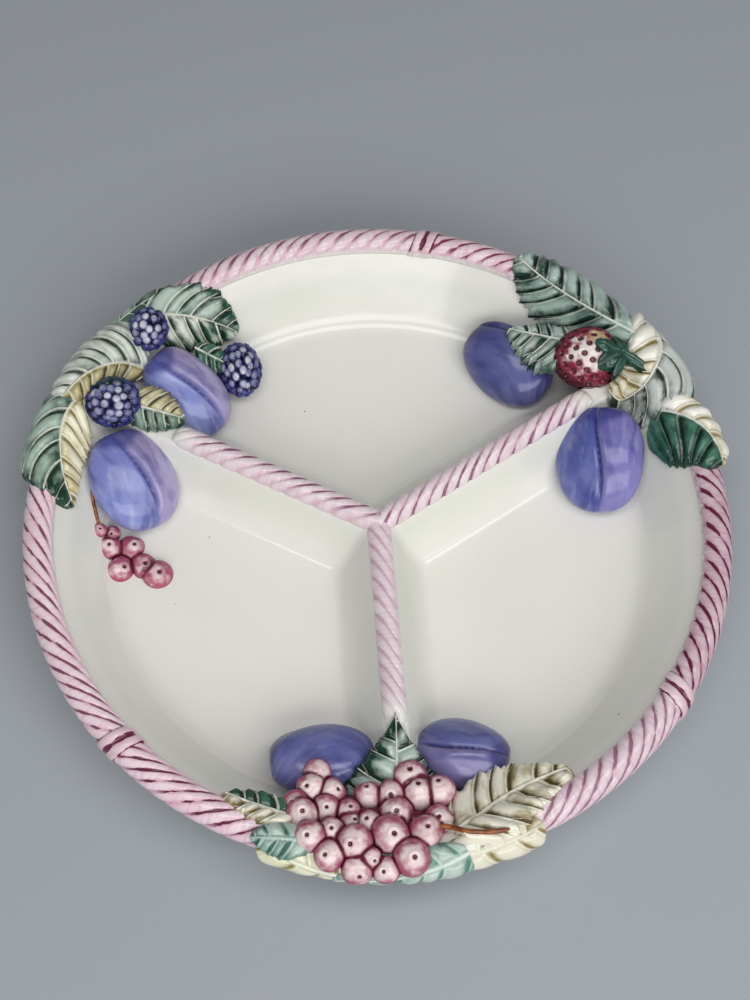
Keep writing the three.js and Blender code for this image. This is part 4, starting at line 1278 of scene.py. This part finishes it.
RIM_LEAVES = {
    "leaf_left_outer": (
        dict(spray="left", base=(-4, 7), bend=(-30, 10), tip=(-51, 5), left=12, right=20,
             layer=-1.8, belly=0.5, taper=0.45, veins=4, teeth=(0.1, 0.0), puff=0.5),
        dict(left=GREEN_DEEP, right=("#a9bcae", "#2f5a48"), groove=DARK_GROOVE)),
    "leaf_left_middle": (
        dict(spray="left", base=(-17, -22), bend=(-5, 3), tip=(25, 4), left=25, right=13,
             layer=0.8, taper=0.5, teeth=(0.0, 0.1)),
        dict(left=SAGE, right=OCHRE, groove="#2b3b31", right_groove="#5d5226", tip=0.1, margin=0.1,
             depth=0.05, hollow=0.75, vein_share=0.8)),
    "leaf_left_back": (
        dict(spray="left", base=(-34, -2), bend=(-52, -11), tip=(-75, -35), left=20, right=20,
             layer=0.8, belly=0.5, taper=0.55, veins=5),
        dict(left=("#e6eadd", "#24573f"), right=("#bccdbf", "#164a36"), groove=DARK_GROOVE,
             tip=1.1, margin=0.9, depth=-0.12, hollow=0.5)),
    "leaf_left_front": (
        dict(spray="left", base=(17, -2), bend=(43, 6), tip=(72, -20), left=26, right=22,
             layer=0.4, taper=0.7, teeth=(0.03, 0.08), root=3.0),
        dict(left=GREEN_LEFT, right=STRAW, groove="#1c3827", right_groove="#8d7f45", tip=1.0,
             base=0.5, margin=0.1, depth=0.15)),
    "leaf_right_middle": (
        dict(spray="right", base=(9, 15.5), bend=(-38, 1.5), tip=(-14, -34), left=20, right=24,
             layer=1.6, belly=0.55, taper=0.5, fan=0.75, teeth=(0.06, 0.12)),
        dict(left=("#f6f3e6", "#d6caa0"), right=("#cad1c9", "#2f473b"), groove="#8d8050",
             right_groove="#2c3326", margin=0.1, base=-0.3, tip=0.5)),
    "leaf_right_back": (
        dict(spray="right", base=(-2, 4), bend=(40, -10), tip=(71, 3), left=24, right=25,
             belly=0.57, taper=0.62, veins=7, teeth=(0.0, 0.12)),
        dict(left=TEAL, right=("#a3b9ae", "#153c31"), groove="#0a231c", tip=0.35, margin=0.2,
             depth=0.1, vein_share=0.4)),
    "leaf_right_front": (
        dict(spray="right", base=(-34, -17), bend=(-52, 10), tip=(-76, 6), left=27, right=12,
             fan=0.5, belly=0.38, taper=0.5, layer=0.7, veins=4, teeth=(0.06, 0.0), root=2.0),
        dict(left=("#578a76", "#023e2d"), right=("#f9f7ee", "#dcd4b6"), groove="#0c2b1f",
             right_groove="#a1966c", tip=0.3, base=-0.6, margin=0.0, depth=0.45, vein_share=0.2)),
    "leaf_front_low_left": (
        dict(spray="front", base=(-12, 14), bend=(-36, 15), tip=(-60, 6), left=10, right=16,
             layer=-0.4, taper=0.5, veins=4, teeth=SMOOTH, puff=0.4),
        dict(left=IVORY_LEAF, right=IVORY_LEAF, groove="#8c8148", vein_share=0.4, depth=-0.4)),
    "leaf_front_low_middle": (
        dict(spray="front", base=(23, 7), bend=(0, 14), tip=(-29, 15), left=10, right=18,
             layer=0.5, taper=0.5, veins=5, teeth=SMOOTH, puff=0.5),
        dict(left=SEA, right=("#bfd0c5", "#6a9384"), groove="#5b8a7a", vein="#dbe8e0",
             vein_share=0.5)),
    "leaf_front_low_right": (
        dict(spray="front", base=(14, 8), bend=(34, 9), tip=(55, 6), left=19, right=11, layer=-0.8,
             taper=0.45, veins=3, teeth=SMOOTH, puff=0.5),
        dict(left=("#e9e5cf", "#cfc59e"), right=CREAM_LEAF, groove="#8d7c48", vein=BISCUIT,
             depth=-0.4)),
    "leaf_front_left_blue": (
        dict(spray="front", base=(-38, 2), bend=(-50, 2), tip=(-63, 6), left=9, right=9, layer=1.8,
             veins=3, puff=0.6),
        dict(left=SEA, right=SEA, groove="#27584a", vein="#a9c6ba", margin=0.7)),
    "leaf_front_left": (
        dict(spray="front", base=(-46, -10), bend=(-64, -11), tip=(-82, -9), left=9, right=11,
             layer=1.2, veins=4),
        dict(left=GREEN_DEEP, right=BONE, groove="#2a3a26", right_groove="#75663a")),
    "leaf_front_right": (
        dict(spray="front", base=(21, -3), bend=(44, -20), tip=(79, -12), left=21, right=18,
             belly=0.38, layer=1.2, veins=5, teeth=(0.12, 0.12)),
        dict(left=BONE, right=BONE, groove=OLIVE_GROOVE, vein="#f0ecd9", tip=0.3, margin=0.0,
             depth=0.0, hollow=0.65)),
}
SLOT_OF_LEAF = {"middle": "sage_glaze", "low_left": "ivory_glaze", "low_right": "ivory_glaze",
                "front_right": "ivory_glaze"}


def leaf_slot(name):
    return next((slot for end, slot in SLOT_OF_LEAF.items() if name.endswith(end)), "green_glaze")


for name, (shape, paint) in RIM_LEAVES.items():
    place_piece(name + "_skin", *rim_leaf(**shape), leaf_glaze(name, **paint), leaf_slot(name),
                [name])

# %% [markdown]
# These leaves don't lie on the rim. They are perched on fruit or on a divider, so each is laid
# between two places and let down over what it rests on.

# %% Perched leaves
PERCHED_LEAVES = {
    "leaf_left_divider": (
        dict(spray="left", base=(9, 22, above_rim(3)), tip=(1, 48, above_divider(4.5)), left=16,
             right=10, belly=0.35, veins=4),
        dict(left=("#d6d0a6", "#7b7344"), right=("#8fa596", "#1c4433"), groove="#5f5527",
             right_groove="#243524")),
    "leaf_left_berry": (
        dict(spray="left", base=(-46, 22, above_rim(-7)), tip=(-58, 37, above_floor(12.5)), left=9,
             right=9, veins=3),
        dict(left=GREEN_DEEP, right=GREEN_DEEP, groove=DARK_GROOVE)),
    "leaf_right_fruit": (
        dict(spray="right", base=(24, 21, above_rim(3)), tip=(58, 30, above_floor(25.5)), left=20,
             right=11, belly=0.27, veins=4, rests_on=("plum_right_back",), teeth=(0.16, 0.16)),
        dict(left=("#a9b8ae", "#2d4f42"), right=TEAL, groove="#122e25", margin=0.3, depth=0.1)),
    "leaf_front_divider": (
        dict(spray="front", base=(-3, 12, above_rim(-2.5)), tip=(0, 59, above_divider(6.2)),
             left=25, right=21, belly=0.27, taper=1.3, droop=0.22, veins=4),
        dict(left=("#b9cabf", "#103a2b"), right=("#b9cabf", "#103a2b"), groove=DARK_GROOVE,
             tip=0.5, margin=0.8, depth=0.1)),
}
for name, (shape, paint) in PERCHED_LEAVES.items():
    place_piece(name + "_skin", *perched_leaf(**shape), leaf_glaze(name, **paint), "green_glaze",
                [name])

# %% [markdown]
# ## Brambles
# A bramble is a cluster of beads. Joining a hundred spheres would leave their hidden halves
# inside, so each point of a fine globe is pushed out to the farthest bead along its own direction.
# What comes out is the skin of the cluster alone. The middle bramble was dabbed green where its
# stalk would be.

# %% Bramble shape
BRAMBLES = {
    "bramble_left_back":
        dict(at=(-31, 6, above_rim(8)), radii=(10.8, 9.3, 8.6), heading=90, beads=64),
    "bramble_left_middle":
        dict(at=(12, 15, above_rim(4)), radii=(12.3, 12.8, 10.8), heading=90, beads=98, green=1.0),
    "bramble_left_inner":
        dict(at=(-62.5, 40, above_floor(10.5)), radii=(14.2, 10.3, 9.8), heading=93, beads=86),
}
GOLDEN_TURN = math.pi * (3 - math.sqrt(5))
BEAD_JITTER = 0.14
BEAD_REACH = 1.02
BEAD_SIZES = (0.55, 0.7)
BEAD_SINK = 0.72
BEAD_TIP = 0.95
BRAMBLE_CORE = 0.78
BRAMBLE_GRID = (120, 210)
BRAMBLE_ROUGHNESS = 0.13
GLOBE_POLE_GAP = 0.02
STALK_EDGE = (0.72, 0.92)
# The way painted light falls from: brambles, the strawberry and currants are painted pale where
# they face it, as painted highlight.
PAINTED_LIGHT_FROM = np.array([0.0, -0.32, 0.95])
STALK_WAY = np.array([0.0, 0.78, 0.62])
draws = np.random.default_rng(11)


def spiral(count):
    k = np.arange(count)
    z = 1 - 2 * (k + 0.5) / count
    ring = np.sqrt(1 - z * z)
    return np.stack([ring * np.cos(k * GOLDEN_TURN), ring * np.sin(k * GOLDEN_TURN), z], -1)


def globe_angles(rings, columns):
    pole = np.linspace(GLOBE_POLE_GAP, np.pi - GLOBE_POLE_GAP, rings)[:, None]
    return pole, np.linspace(0, 2 * np.pi, columns, endpoint=False)[None, :]


def unit_globe(rings, columns):
    pole, around = globe_angles(rings, columns)
    ring = np.sin(pole)
    return np.stack([ring * np.cos(around), ring * np.sin(around), np.cos(pole) + 0 * around], -1)


def bramble(at, radii, heading, beads, green=0.0):
    way = unit_globe(*BRAMBLE_GRID)
    gap = math.sqrt(4 * math.pi / beads)
    centres = normalised(spiral(beads) + draws.normal(0, BEAD_JITTER * gap, (beads, 3)))
    bead = gap * draws.uniform(*BEAD_SIZES, beads)
    seat = 1 - BEAD_SINK * bead
    facing = way.reshape(-1, 3) @ centres.T
    reach = bead ** 2 - (seat * seat) * (1 - facing * facing)
    met = (reach > 0) & (facing > 0)
    far = np.where(met, facing * seat + np.sqrt(np.maximum(reach, 0)), BRAMBLE_CORE)
    nearest = far.argmax(1)
    off = np.arccos(np.clip(facing[np.arange(len(far)), nearest], -1, 1))
    tip = np.clip(1 - off / (BEAD_TIP * bead[nearest]), 0, 1).reshape(BRAMBLE_GRID)
    tone = draws.uniform(0, 1, beads)[nearest].reshape(BRAMBLE_GRID)
    far = far.max(1).reshape(BRAMBLE_GRID)
    spin = np.array(Matrix.Rotation(math.radians(heading), 3, "Z"))
    local = way * far[..., None] / BEAD_REACH * np.array(radii)
    points = local @ spin.T + plan_point("left", *at)
    # up is how far a point faces the painted light.
    marks = {"tip": tip, "tone": tone, "up": way @ spin.T @ PAINTED_LIGHT_FROM,
             "stalk": green * smoothstep(*STALK_EDGE, way @ spin.T @ STALK_WAY)}
    return globe(points, marks)


def bramble_paint(tree):
    tip = mark(tree, "tip")
    wear = blotches(tree, 3.5)
    bare = sums(tree, "ADD", scaled(tree, mark(tree, "tone"), 0.7), scaled(tree, wear, 0.6))
    # Painted highlight: bead tips that face the light are pale, where tone and wear let the clay
    # show.
    top = span(tree, mark(tree, "up"), 0.35, 0.98)
    worn_lit_tips = scaled(tree, span(tree, tip, 0.15, 0.6), top)
    worn_lit_tips = scaled(tree, worn_lit_tips, bare, clamp=True)
    # Darkest between the beads, as pooled glaze and painted shade.
    skin = blend(tree, span(tree, tip, 0.02, 0.4), srgb("#0e1038"), srgb("#353981"))
    skin = blend(tree, worn_lit_tips, skin, srgb("#dad9e2"))
    return tint(tree, skin, "#1d3d3e", mark(tree, "stalk"), 0.85)


bramble_glaze = glaze_material("bramble glaze", bramble_paint, roughness=BRAMBLE_ROUGHNESS)
for name, shape in BRAMBLES.items():
    place_piece(name + "_skin", *bramble(**shape), bramble_glaze, "bramble_glaze", [name])

# %% [markdown]
# ## Strawberry
# The strawberry is turned about its length, with a pit pressed in for each seed. The pits are
# placed on a spiral, as they grow. The red is dark in the pits, and it is pale where the fruit
# faces the light and dark wine on the side away from it, as painted highlight and painted shade.

# %% Strawberry
STRAWBERRY_AT = (11, 20, above_rim(0.2))
STRAWBERRY_LENGTH = 34.5
STRAWBERRY_WIDTH = 32.4
STRAWBERRY_HEADING = math.radians(175)
STRAWBERRY_GRID = (130, 200)
STRAWBERRY_ROUGHNESS = 0.13
PIT_COUNT = 104
PIT_RADIUS = 2.1
PIT_DEPTH = 1.2
PIT_RIM_AT, PIT_RIM_WIDTH, PIT_RIM_HEIGHT = 1.25 * PIT_RADIUS, 0.6, 0.3
SEED_HEIGHT = 0.4
BLUSH_WAY, BLUSH_EDGE = np.array([0.31, 0.17, 0.93]), (0.42, 0.12)


def strawberry_profile(pole):
    """Place along the axis and radius, from the stalk end at 0 to the tip at pi"""
    along = -STRAWBERRY_LENGTH / 2 * np.cos(pole) * (0.94 + 0.06 * np.cos(pole))
    radius = STRAWBERRY_WIDTH / 2 * np.sin(pole) ** 0.9 * (1 - 0.14 * (1 - np.cos(pole - 0.45)))
    return along, radius


def strawberry():
    pole, around = globe_angles(*STRAWBERRY_GRID)
    along, ring = strawberry_profile(pole)
    local = np.stack([along + 0 * around, ring * np.cos(around), ring * np.sin(around)], -1)
    way = unit_globe(*STRAWBERRY_GRID)[..., [2, 0, 1]] * [-1, 1, 1]
    seeds = spiral(PIT_COUNT)[:, [2, 0, 1]]
    nearest = (way.reshape(-1, 3) @ seeds.T).max(1).reshape(STRAWBERRY_GRID)
    gap = np.arccos(np.clip(nearest, -1, 1)) * STRAWBERRY_WIDTH / 2
    pit = smoothstep(PIT_RADIUS, 0.3 * PIT_RADIUS, gap)
    rim = bell(gap - PIT_RIM_AT, PIT_RIM_WIDTH)
    seed = smoothstep(0.5 * PIT_RADIUS, 0.1 * PIT_RADIUS, gap)
    away = local / np.maximum(np.linalg.norm(local, axis=-1, keepdims=True), 0.01)
    rise = PIT_RIM_HEIGHT * rim - PIT_DEPTH * pit + SEED_HEIGHT * seed
    local = turned_points(local + away * rise[..., None], STRAWBERRY_HEADING)
    facing = turned_points(way, STRAWBERRY_HEADING)
    from_blush = np.linalg.norm(facing - BLUSH_WAY, axis=-1)
    marks = {"pit": pit, "rim": rim, "seed": seed, "up": facing @ PAINTED_LIGHT_FROM,
             "blush": smoothstep(*BLUSH_EDGE, from_blush)}
    return globe(plan_point("right", *STRAWBERRY_AT) + local, marks)


def strawberry_paint(tree):
    # Painted highlight and shade: pale where the fruit faces the light, wine further round and dark
    # wine on the side away from it.
    top = nudged(tree, mark(tree, "up"), blotches(tree, 6.0), 0.4)
    flesh = blend(tree, span(tree, top, 0.72, 1.0), srgb("#8c2340"), srgb("#ece0dc"))
    flesh = blend(tree, span(tree, top, 0.7, 0.25), flesh, srgb("#4f0f22"))
    flesh = tint(tree, flesh, "#dcc384", mark(tree, "blush"), 0.8)
    # Painted highlight: pit rims are pale only where they face the light.
    ring = scaled(tree, mark(tree, "rim"), span(tree, top, 0.6, 1.0))
    flesh = tint(tree, flesh, "#ecdcd6", ring, 0.4)
    flesh = blend(tree, span(tree, mark(tree, "pit"), 0.1, 0.6), flesh, srgb("#4a1020"))
    return tint(tree, flesh, "#a9606c", mark(tree, "seed"), 0.45)


strawberry_glaze = glaze_material("strawberry glaze", strawberry_paint,
                                  roughness=STRAWBERRY_ROUGHNESS)
place_piece("strawberry_skin", *strawberry(), strawberry_glaze, "strawberry_glaze",
            ["strawberry"])

# %% [markdown]
# The calyx is four folded sepals and a stalk. Each is a small shell, bent over the fruit's
# shoulder.

# %% Calyx
CALYX_AT = (-4.0, 9.5, above_rim(11.5))
CALYX_SEPALS = ((-37, 17, 5.5), (107, 10, 8), (162, 14, 9), (205, 14, 9), (243, 13, 6))
CALYX_TOP = above_rim(17)
SEPAL_ROWS, SEPAL_COLUMNS = 60, 30
SEPAL_TOOTH = 0.12
SEPAL_VEIN_WIDTH, SEPAL_VEIN_DEPTH = 0.55, 0.4
SEPAL_DROOP = 0.016
SEPAL_GAP, SEPAL_BLEND = 0.7, 1.5
SEPAL_SWELL, SEPAL_THICKNESS = 1.9, 2.8


def strawberry_top(x, y):
    """Height of the strawberry's upper side at plan points, far below where it is missed"""
    centre = plan_point("right", *STRAWBERRY_AT)
    along, across = turned(x - centre[0], y - centre[1], -STRAWBERRY_HEADING)
    places, radii = strawberry_profile(np.linspace(0, np.pi, 60))
    radius = np.interp(along, places, radii)
    room = radius * radius - across * across
    return np.where(room > 0, centre[2] + np.sqrt(np.maximum(room, 0)), MISSED)


def sepal(bearing, reach, width):
    u = np.linspace(0, 1, SEPAL_ROWS)[:, None]
    v = np.linspace(-1, 1, SEPAL_COLUMNS)[None, :]
    half = width / 2 * np.sin(np.pi * (0.2 + 0.79 * u)) ** 0.5
    t = v * half * (1 - SEPAL_TOOTH * tooth_notch(3 * u))
    centre = plan_point("right", *CALYX_AT)
    x, y = turned(reach * u, t, math.radians(bearing))
    x, y = centre[0] + x, centre[1] + y
    ridge = bell(t, SEPAL_VEIN_WIDTH)
    plate = centre[2] - SEPAL_DROOP * (reach * u) ** 2 + 0 * x
    z = smooth_max(plate, strawberry_top(x, y) + SEPAL_GAP, SEPAL_BLEND)
    z = z - SEPAL_VEIN_DEPTH * ridge + SEPAL_SWELL * np.sqrt(1 - 0.98 * v * v)
    z = np.minimum(z, CALYX_TOP)
    marks = {"vein": ridge * smoothstep(1.0, 0.6, u)}
    return shell(np.stack([x, y, z], -1), np.stack([x, y, z - SEPAL_THICKNESS], -1), marks)


def calyx_paint(tree):
    green = blend(tree, blotches(tree, 5.0), srgb("#30594a"), srgb("#08281d"))
    return tint(tree, green, "#a9bdae", mark(tree, "vein"), 0.15)


calyx_glaze = glaze_material("calyx glaze", calyx_paint)
calyx = joined([sepal(*shape) for shape in CALYX_SEPALS])
place_piece("strawberry_calyx_skin", *calyx, calyx_glaze, "green_glaze", ["strawberry_calyx"])

# %% [markdown]
# ## Currants
# The bunch is a heap of round berries, each with a dark dot where its flower was. The wine darkens
# where berries touch, as pooled glaze and painted shade, so every point measures how near it is to
# the next berry. Tops that face the light are painted pale, as painted highlight.

# %% Currant shapes
CURRANT_SINK = 0.5
CURRANT_HEAP = 0.12
CURRANT_SWELL = 1.1
CURRANT_ROWS = (
    (10, ((-20, 6), (-9, 5.5))),
    (6, ((-31, 6), (-15, 4.5), (1, 7))),
    (0, ((-40, 6), (-22, 7))),
    (-6, ((-32, 5.5), (-7, 7.5), (8, 6.5))),
    (-13, ((-46, 6.5), (-24, 4.5), (-16, 5.5), (15, 5.5))),
    (-17, ((-50, 5), (-36, 5.5), (-26, 5), (-4, 6.5))),
    (-24, ((-45, 6), (-35, 5.5), (-17, 5.5), (-6, 6), (8, 7), (18, 6.5))),
    (-30, ((-44, 6), (5, 7.5))),
)
# The beds fill the gaps under the berries and are painted the full crevice wine, as painted shade.
BUNCH_BEDS = (((-12, 15, above_rim(-6)), (31, 11, 7)), ((-12, 3, above_rim(1)), (32, 11, 5)))
BERRY_GRID, BED_GRID = (50, 72), (30, 60)
BERRY_LUMP, BERRY_LUMP_PACE = 0.05, 2.2
HEAP_START = -10
DOT_SIZE = 0.19
DOT_DEPTH = 0.8
DOT_RING_AT, DOT_RING_WIDTH, DOT_RING_HEIGHT = 1.6 * DOT_SIZE, 0.45 * DOT_SIZE, 0.3
DOT_OUTWARD, DOT_WAY, DOT_SPREAD = 0.3, np.array([0, -0.25, 0.65]), 0.2
CREVICE = (2.2, 0.0)
FAR_APART = 9.0
CURRANT_ROUGHNESS = 0.16


def berry_list():
    angle = SPRAY_ANGLES["front"]
    found = []
    for y, berries in CURRANT_ROWS:
        lift = relief("front", y) - CURRANT_SINK + CURRANT_HEAP * max(0, HEAP_START - y)
        for x, radius in berries:
            centre = rim_point(angle, x, y, lift)
            outward = rim_point(angle, x, y, lift + 1) - centre
            dot = outward * DOT_OUTWARD + DOT_WAY + draws.normal(0, DOT_SPREAD, 3)
            found.append((centre, radius * CURRANT_SWELL, normalised(dot)))
    return found


def berry(centre, radius, dot, others, flat=1.0, highlight_share=1.0):
    way = unit_globe(*BERRY_GRID)
    ripple = BERRY_LUMP_PACE * (way @ draws.normal(0, 1, 3)) + draws.uniform(0, 6)
    lump = 1 + BERRY_LUMP * np.sin(ripple)
    points = centre + way * lump[..., None] * radius * np.array([1, 1, flat])
    off = np.arccos(np.clip(way @ dot, -1, 1))
    spot = smoothstep(DOT_SIZE, 0.5 * DOT_SIZE, off)
    ring = bell(off - DOT_RING_AT, DOT_RING_WIDTH)
    points = points + way * (DOT_RING_HEIGHT * ring - DOT_DEPTH * spot)[..., None]
    gap = np.full(BERRY_GRID, FAR_APART)
    for other, size in others:
        gap = np.minimum(gap, np.linalg.norm(points - other, axis=-1) - size)
    # up is how far a point faces the painted light; a sprig weakens that painted highlight.
    marks = {"dot": spot, "ring": ring, "crevice": smoothstep(*CREVICE, gap),
             "up": highlight_share * (way @ PAINTED_LIGHT_FROM)}
    return globe(points, marks)


def others_of(berries, k):
    return [(centre, radius) for j, (centre, radius, *_) in enumerate(berries) if j != k]


def bed(at, radii):
    way = unit_globe(*BED_GRID)
    local = turned_points(way * np.array(radii), rim_bearing("front", at[0]) + math.pi / 2)
    flat = np.zeros(BED_GRID)
    # A bed is all crevice wine, as painted shade between the berries.
    marks = {"dot": flat, "ring": flat, "crevice": flat + 1, "up": way[..., 2]}
    return globe(plan_point("front", *at) + local, marks)


def currant_paint(tree):
    dab = blotches(tree, 5.0)
    # Painted highlight on tops that face the light, and wine where berries touch, as pooled glaze
    # and painted shade.
    top = nudged(tree, mark(tree, "up"), dab, 0.5)
    rose = blend(tree, span(tree, top, 0.3, 1.0), srgb("#a8506c"), srgb("#f0d9d8"))
    deep = nudged(tree, mark(tree, "crevice"), dab, 0.4)
    rose = blend(tree, span(tree, deep, 0.2, 1.0), rose, srgb("#6d2039"))
    rose = tint(tree, rose, "#ead8d4", mark(tree, "ring"), 0.35)
    return blend(tree, span(tree, mark(tree, "dot"), 0.15, 0.7), rose, srgb("#54192c"))


currant_glaze = glaze_material("currant glaze", currant_paint, roughness=CURRANT_ROUGHNESS)
bunch = berry_list()
parts = [berry(*shape, others_of(bunch, k)) for k, shape in enumerate(bunch)]
parts += [bed(*shape) for shape in BUNCH_BEDS]
place_piece("currant_bunch_skin", *joined(parts), currant_glaze, "currant_glaze",
            ["currant_bunch"])

# %% [markdown]
# A loose sprig of currants lies on the floor at the left. Its berries are flatter, and their
# painted highlight is weaker, so their rims stay darker.

# %% Sprig
SPRIG_BERRIES = (
    ((75, 22.8, above_floor(7.8)), 3.6), ((75, 28, above_floor(4)), 4),
    ((83, 27, above_floor(2)), 6.2), ((82, 37, above_floor(0)), 6.2),
    ((96, 32, above_floor(0)), 6.6), ((95, 43, above_floor(0)), 6.2),
    ((102, 49, above_floor(0)), 7),
)
# The sprig's painted highlight is weaker, so its berries' rims stay darker.
SPRIG_FLAT, SPRIG_HIGHLIGHT = 0.75, 0.65
SPRIG_DOT_WAY, SPRIG_DOT_SPREAD = np.array([0.12, -0.1, 1.0]), 0.1
sprig = [(plan_point("left", *at), radius) for at, radius in SPRIG_BERRIES]
parts = []
for k, (centre, radius) in enumerate(sprig):
    dot = normalised(SPRIG_DOT_WAY + draws.normal(0, SPRIG_DOT_SPREAD, 3))
    parts.append(berry(centre, radius, dot, others_of(sprig, k), SPRIG_FLAT, SPRIG_HIGHLIGHT))
place_piece("currant_sprig_skin", *joined(parts), currant_glaze, "currant_glaze",
            ["currant_sprig"])

# %% [markdown]
# The twig of the bunch and the stem of the sprig are thin tubes. A few points give the path, and
# averaging each point with its neighbours takes the corners out of it.

# %% Stems
STEM_STEPS, STEM_SIDES = 60, 18
STEM_ROUNDS = 12
STEM_SQUARENESS, STEM_LEAST = 10, 0.05
STEM_PAINT_LENGTH = 3
STEM_STROKES = (0.5, 0.6)
TWIG_RADIUS, TWIG_LIFT = 1.1, 2.5
TWIG = ((12, -6), (18, -4), (25, 0), (33, 2), (41, 3))
SPRIG_STEM_RADIUS = 0.9
SPRIG_STEM = ((55.5, 17), (61, 18.5), (65.5, 20), (70, 21.5), (73, 22.3))


def stem_tube(path, radius):
    path = np.array(path)
    t = np.linspace(0, len(path) - 1, STEM_STEPS)
    spine = np.stack([np.interp(t, np.arange(len(path)), path[:, k]) for k in range(3)], -1)
    for _ in range(STEM_ROUNDS):
        spine[1:-1] = (spine[:-2] + 2 * spine[1:-1] + spine[2:]) / 4
    run = normalised(np.gradient(spine, axis=0))
    side = normalised(np.cross(run, [0, 0, 1.0]))
    over = np.cross(side, run)
    a = np.linspace(0, 2 * np.pi, STEM_SIDES, endpoint=False)
    ends = (2 * np.linspace(0, 1, STEM_STEPS) - 1) ** STEM_SQUARENESS
    size = radius * np.sqrt(np.clip(1 - ends, STEM_LEAST, 1))[:, None, None]
    ring = np.cos(a)[None, :, None] * side[:, None] + np.sin(a)[None, :, None] * over[:, None]
    along = np.linspace(0, STEM_PAINT_LENGTH, STEM_STEPS)[:, None] + 0 * a
    marks = {"along": along, "around": np.sin(a)[None, :] + 0 * along}
    return globe(spine[:, None] + size * ring, marks)


def brown_paint(tree):
    streaks = strokes(tree, mark(tree, "along"), mark(tree, "around"), *STEM_STROKES)
    return blend(tree, streaks, srgb("#a8642f"), srgb("#5c2d14"))


def on_clay(spray, x, inward, lift):
    point = plan_point(spray, x, inward, 0.0)
    point[2] = clay_height(point[0], point[1]) + lift
    return point


brown_glaze = glaze_material("brown stem glaze", brown_paint)
twig = [rim_point(SPRAY_ANGLES["front"], x, y, relief("front", y) + TWIG_LIFT) for x, y in TWIG]
place_piece("currant_twig_skin", *stem_tube(twig, TWIG_RADIUS), brown_glaze, "brown_glaze",
            ["currant_twig"])
stalk = [on_clay("left", x, inward, SPRIG_STEM_RADIUS / 2) for x, inward in SPRIG_STEM]
place_piece("sprig_stem_skin", *stem_tube(stalk, SPRIG_STEM_RADIUS), brown_glaze, "brown_glaze",
            ["sprig_stem"])

# %% [markdown]
# ## Table and light
# The dish stands on a plain grey table. A long soft light overhead draws the bright lines along
# the fillets, a broad one from the front models the fruit, and a dim sky fills the shadows.

# %% Table
TABLE_SIZE = 40.0
TABLE_GREY, TABLE_ROUGHNESS = "#a5aab0", 0.7
bpy.ops.mesh.primitive_plane_add(size=TABLE_SIZE, location=(0, 0, 0))
table = bpy.context.object
table.name = "table"
table_material = bpy.data.materials.new("table")
table_material.use_nodes = True
table_shader = table_material.node_tree.nodes["Principled BSDF"]
table_shader.inputs["Base Color"].default_value = srgb(TABLE_GREY)
table_shader.inputs["Roughness"].default_value = TABLE_ROUGHNESS
table.data.materials.append(table_material)

# %% Light
LIGHTS = {
    "overhead": dict(place=(0.25, -0.28, 1.5), aim=(0.25, 0, 0), size=(1.8, 0.5), power=10.0),
    "front": dict(place=(0.25, -1.4, 1.1), aim=(0, 0, 0), size=(2.3, 0.9), power=20.0),
}
SKY_COLOUR, SKY_STRENGTH = (0.92, 0.95, 1.0, 1.0), 0.2


def soft_light(name, place, aim, size, power):
    data = bpy.data.lights.new(name, "AREA")
    data.shape = "RECTANGLE"
    data.size, data.size_y = size
    data.energy = power
    lamp = bpy.data.objects.new(name, data)
    scene_objects.link(lamp)
    facing = (Vector(place) - Vector(aim)).to_track_quat("Z", "Y")
    lamp.matrix_world = Matrix.Translation(place) @ facing.to_matrix().to_4x4()


for name, light in LIGHTS.items():
    soft_light(name, **light)
world = bpy.data.worlds.new("sky")
bpy.context.scene.world = world
world.use_nodes = True
background = world.node_tree.nodes["Background"]
background.inputs["Color"].default_value = SKY_COLOUR
background.inputs["Strength"].default_value = SKY_STRENGTH
bpy.context.scene.view_settings.view_transform = "Standard"
print("lights:", list(LIGHTS))
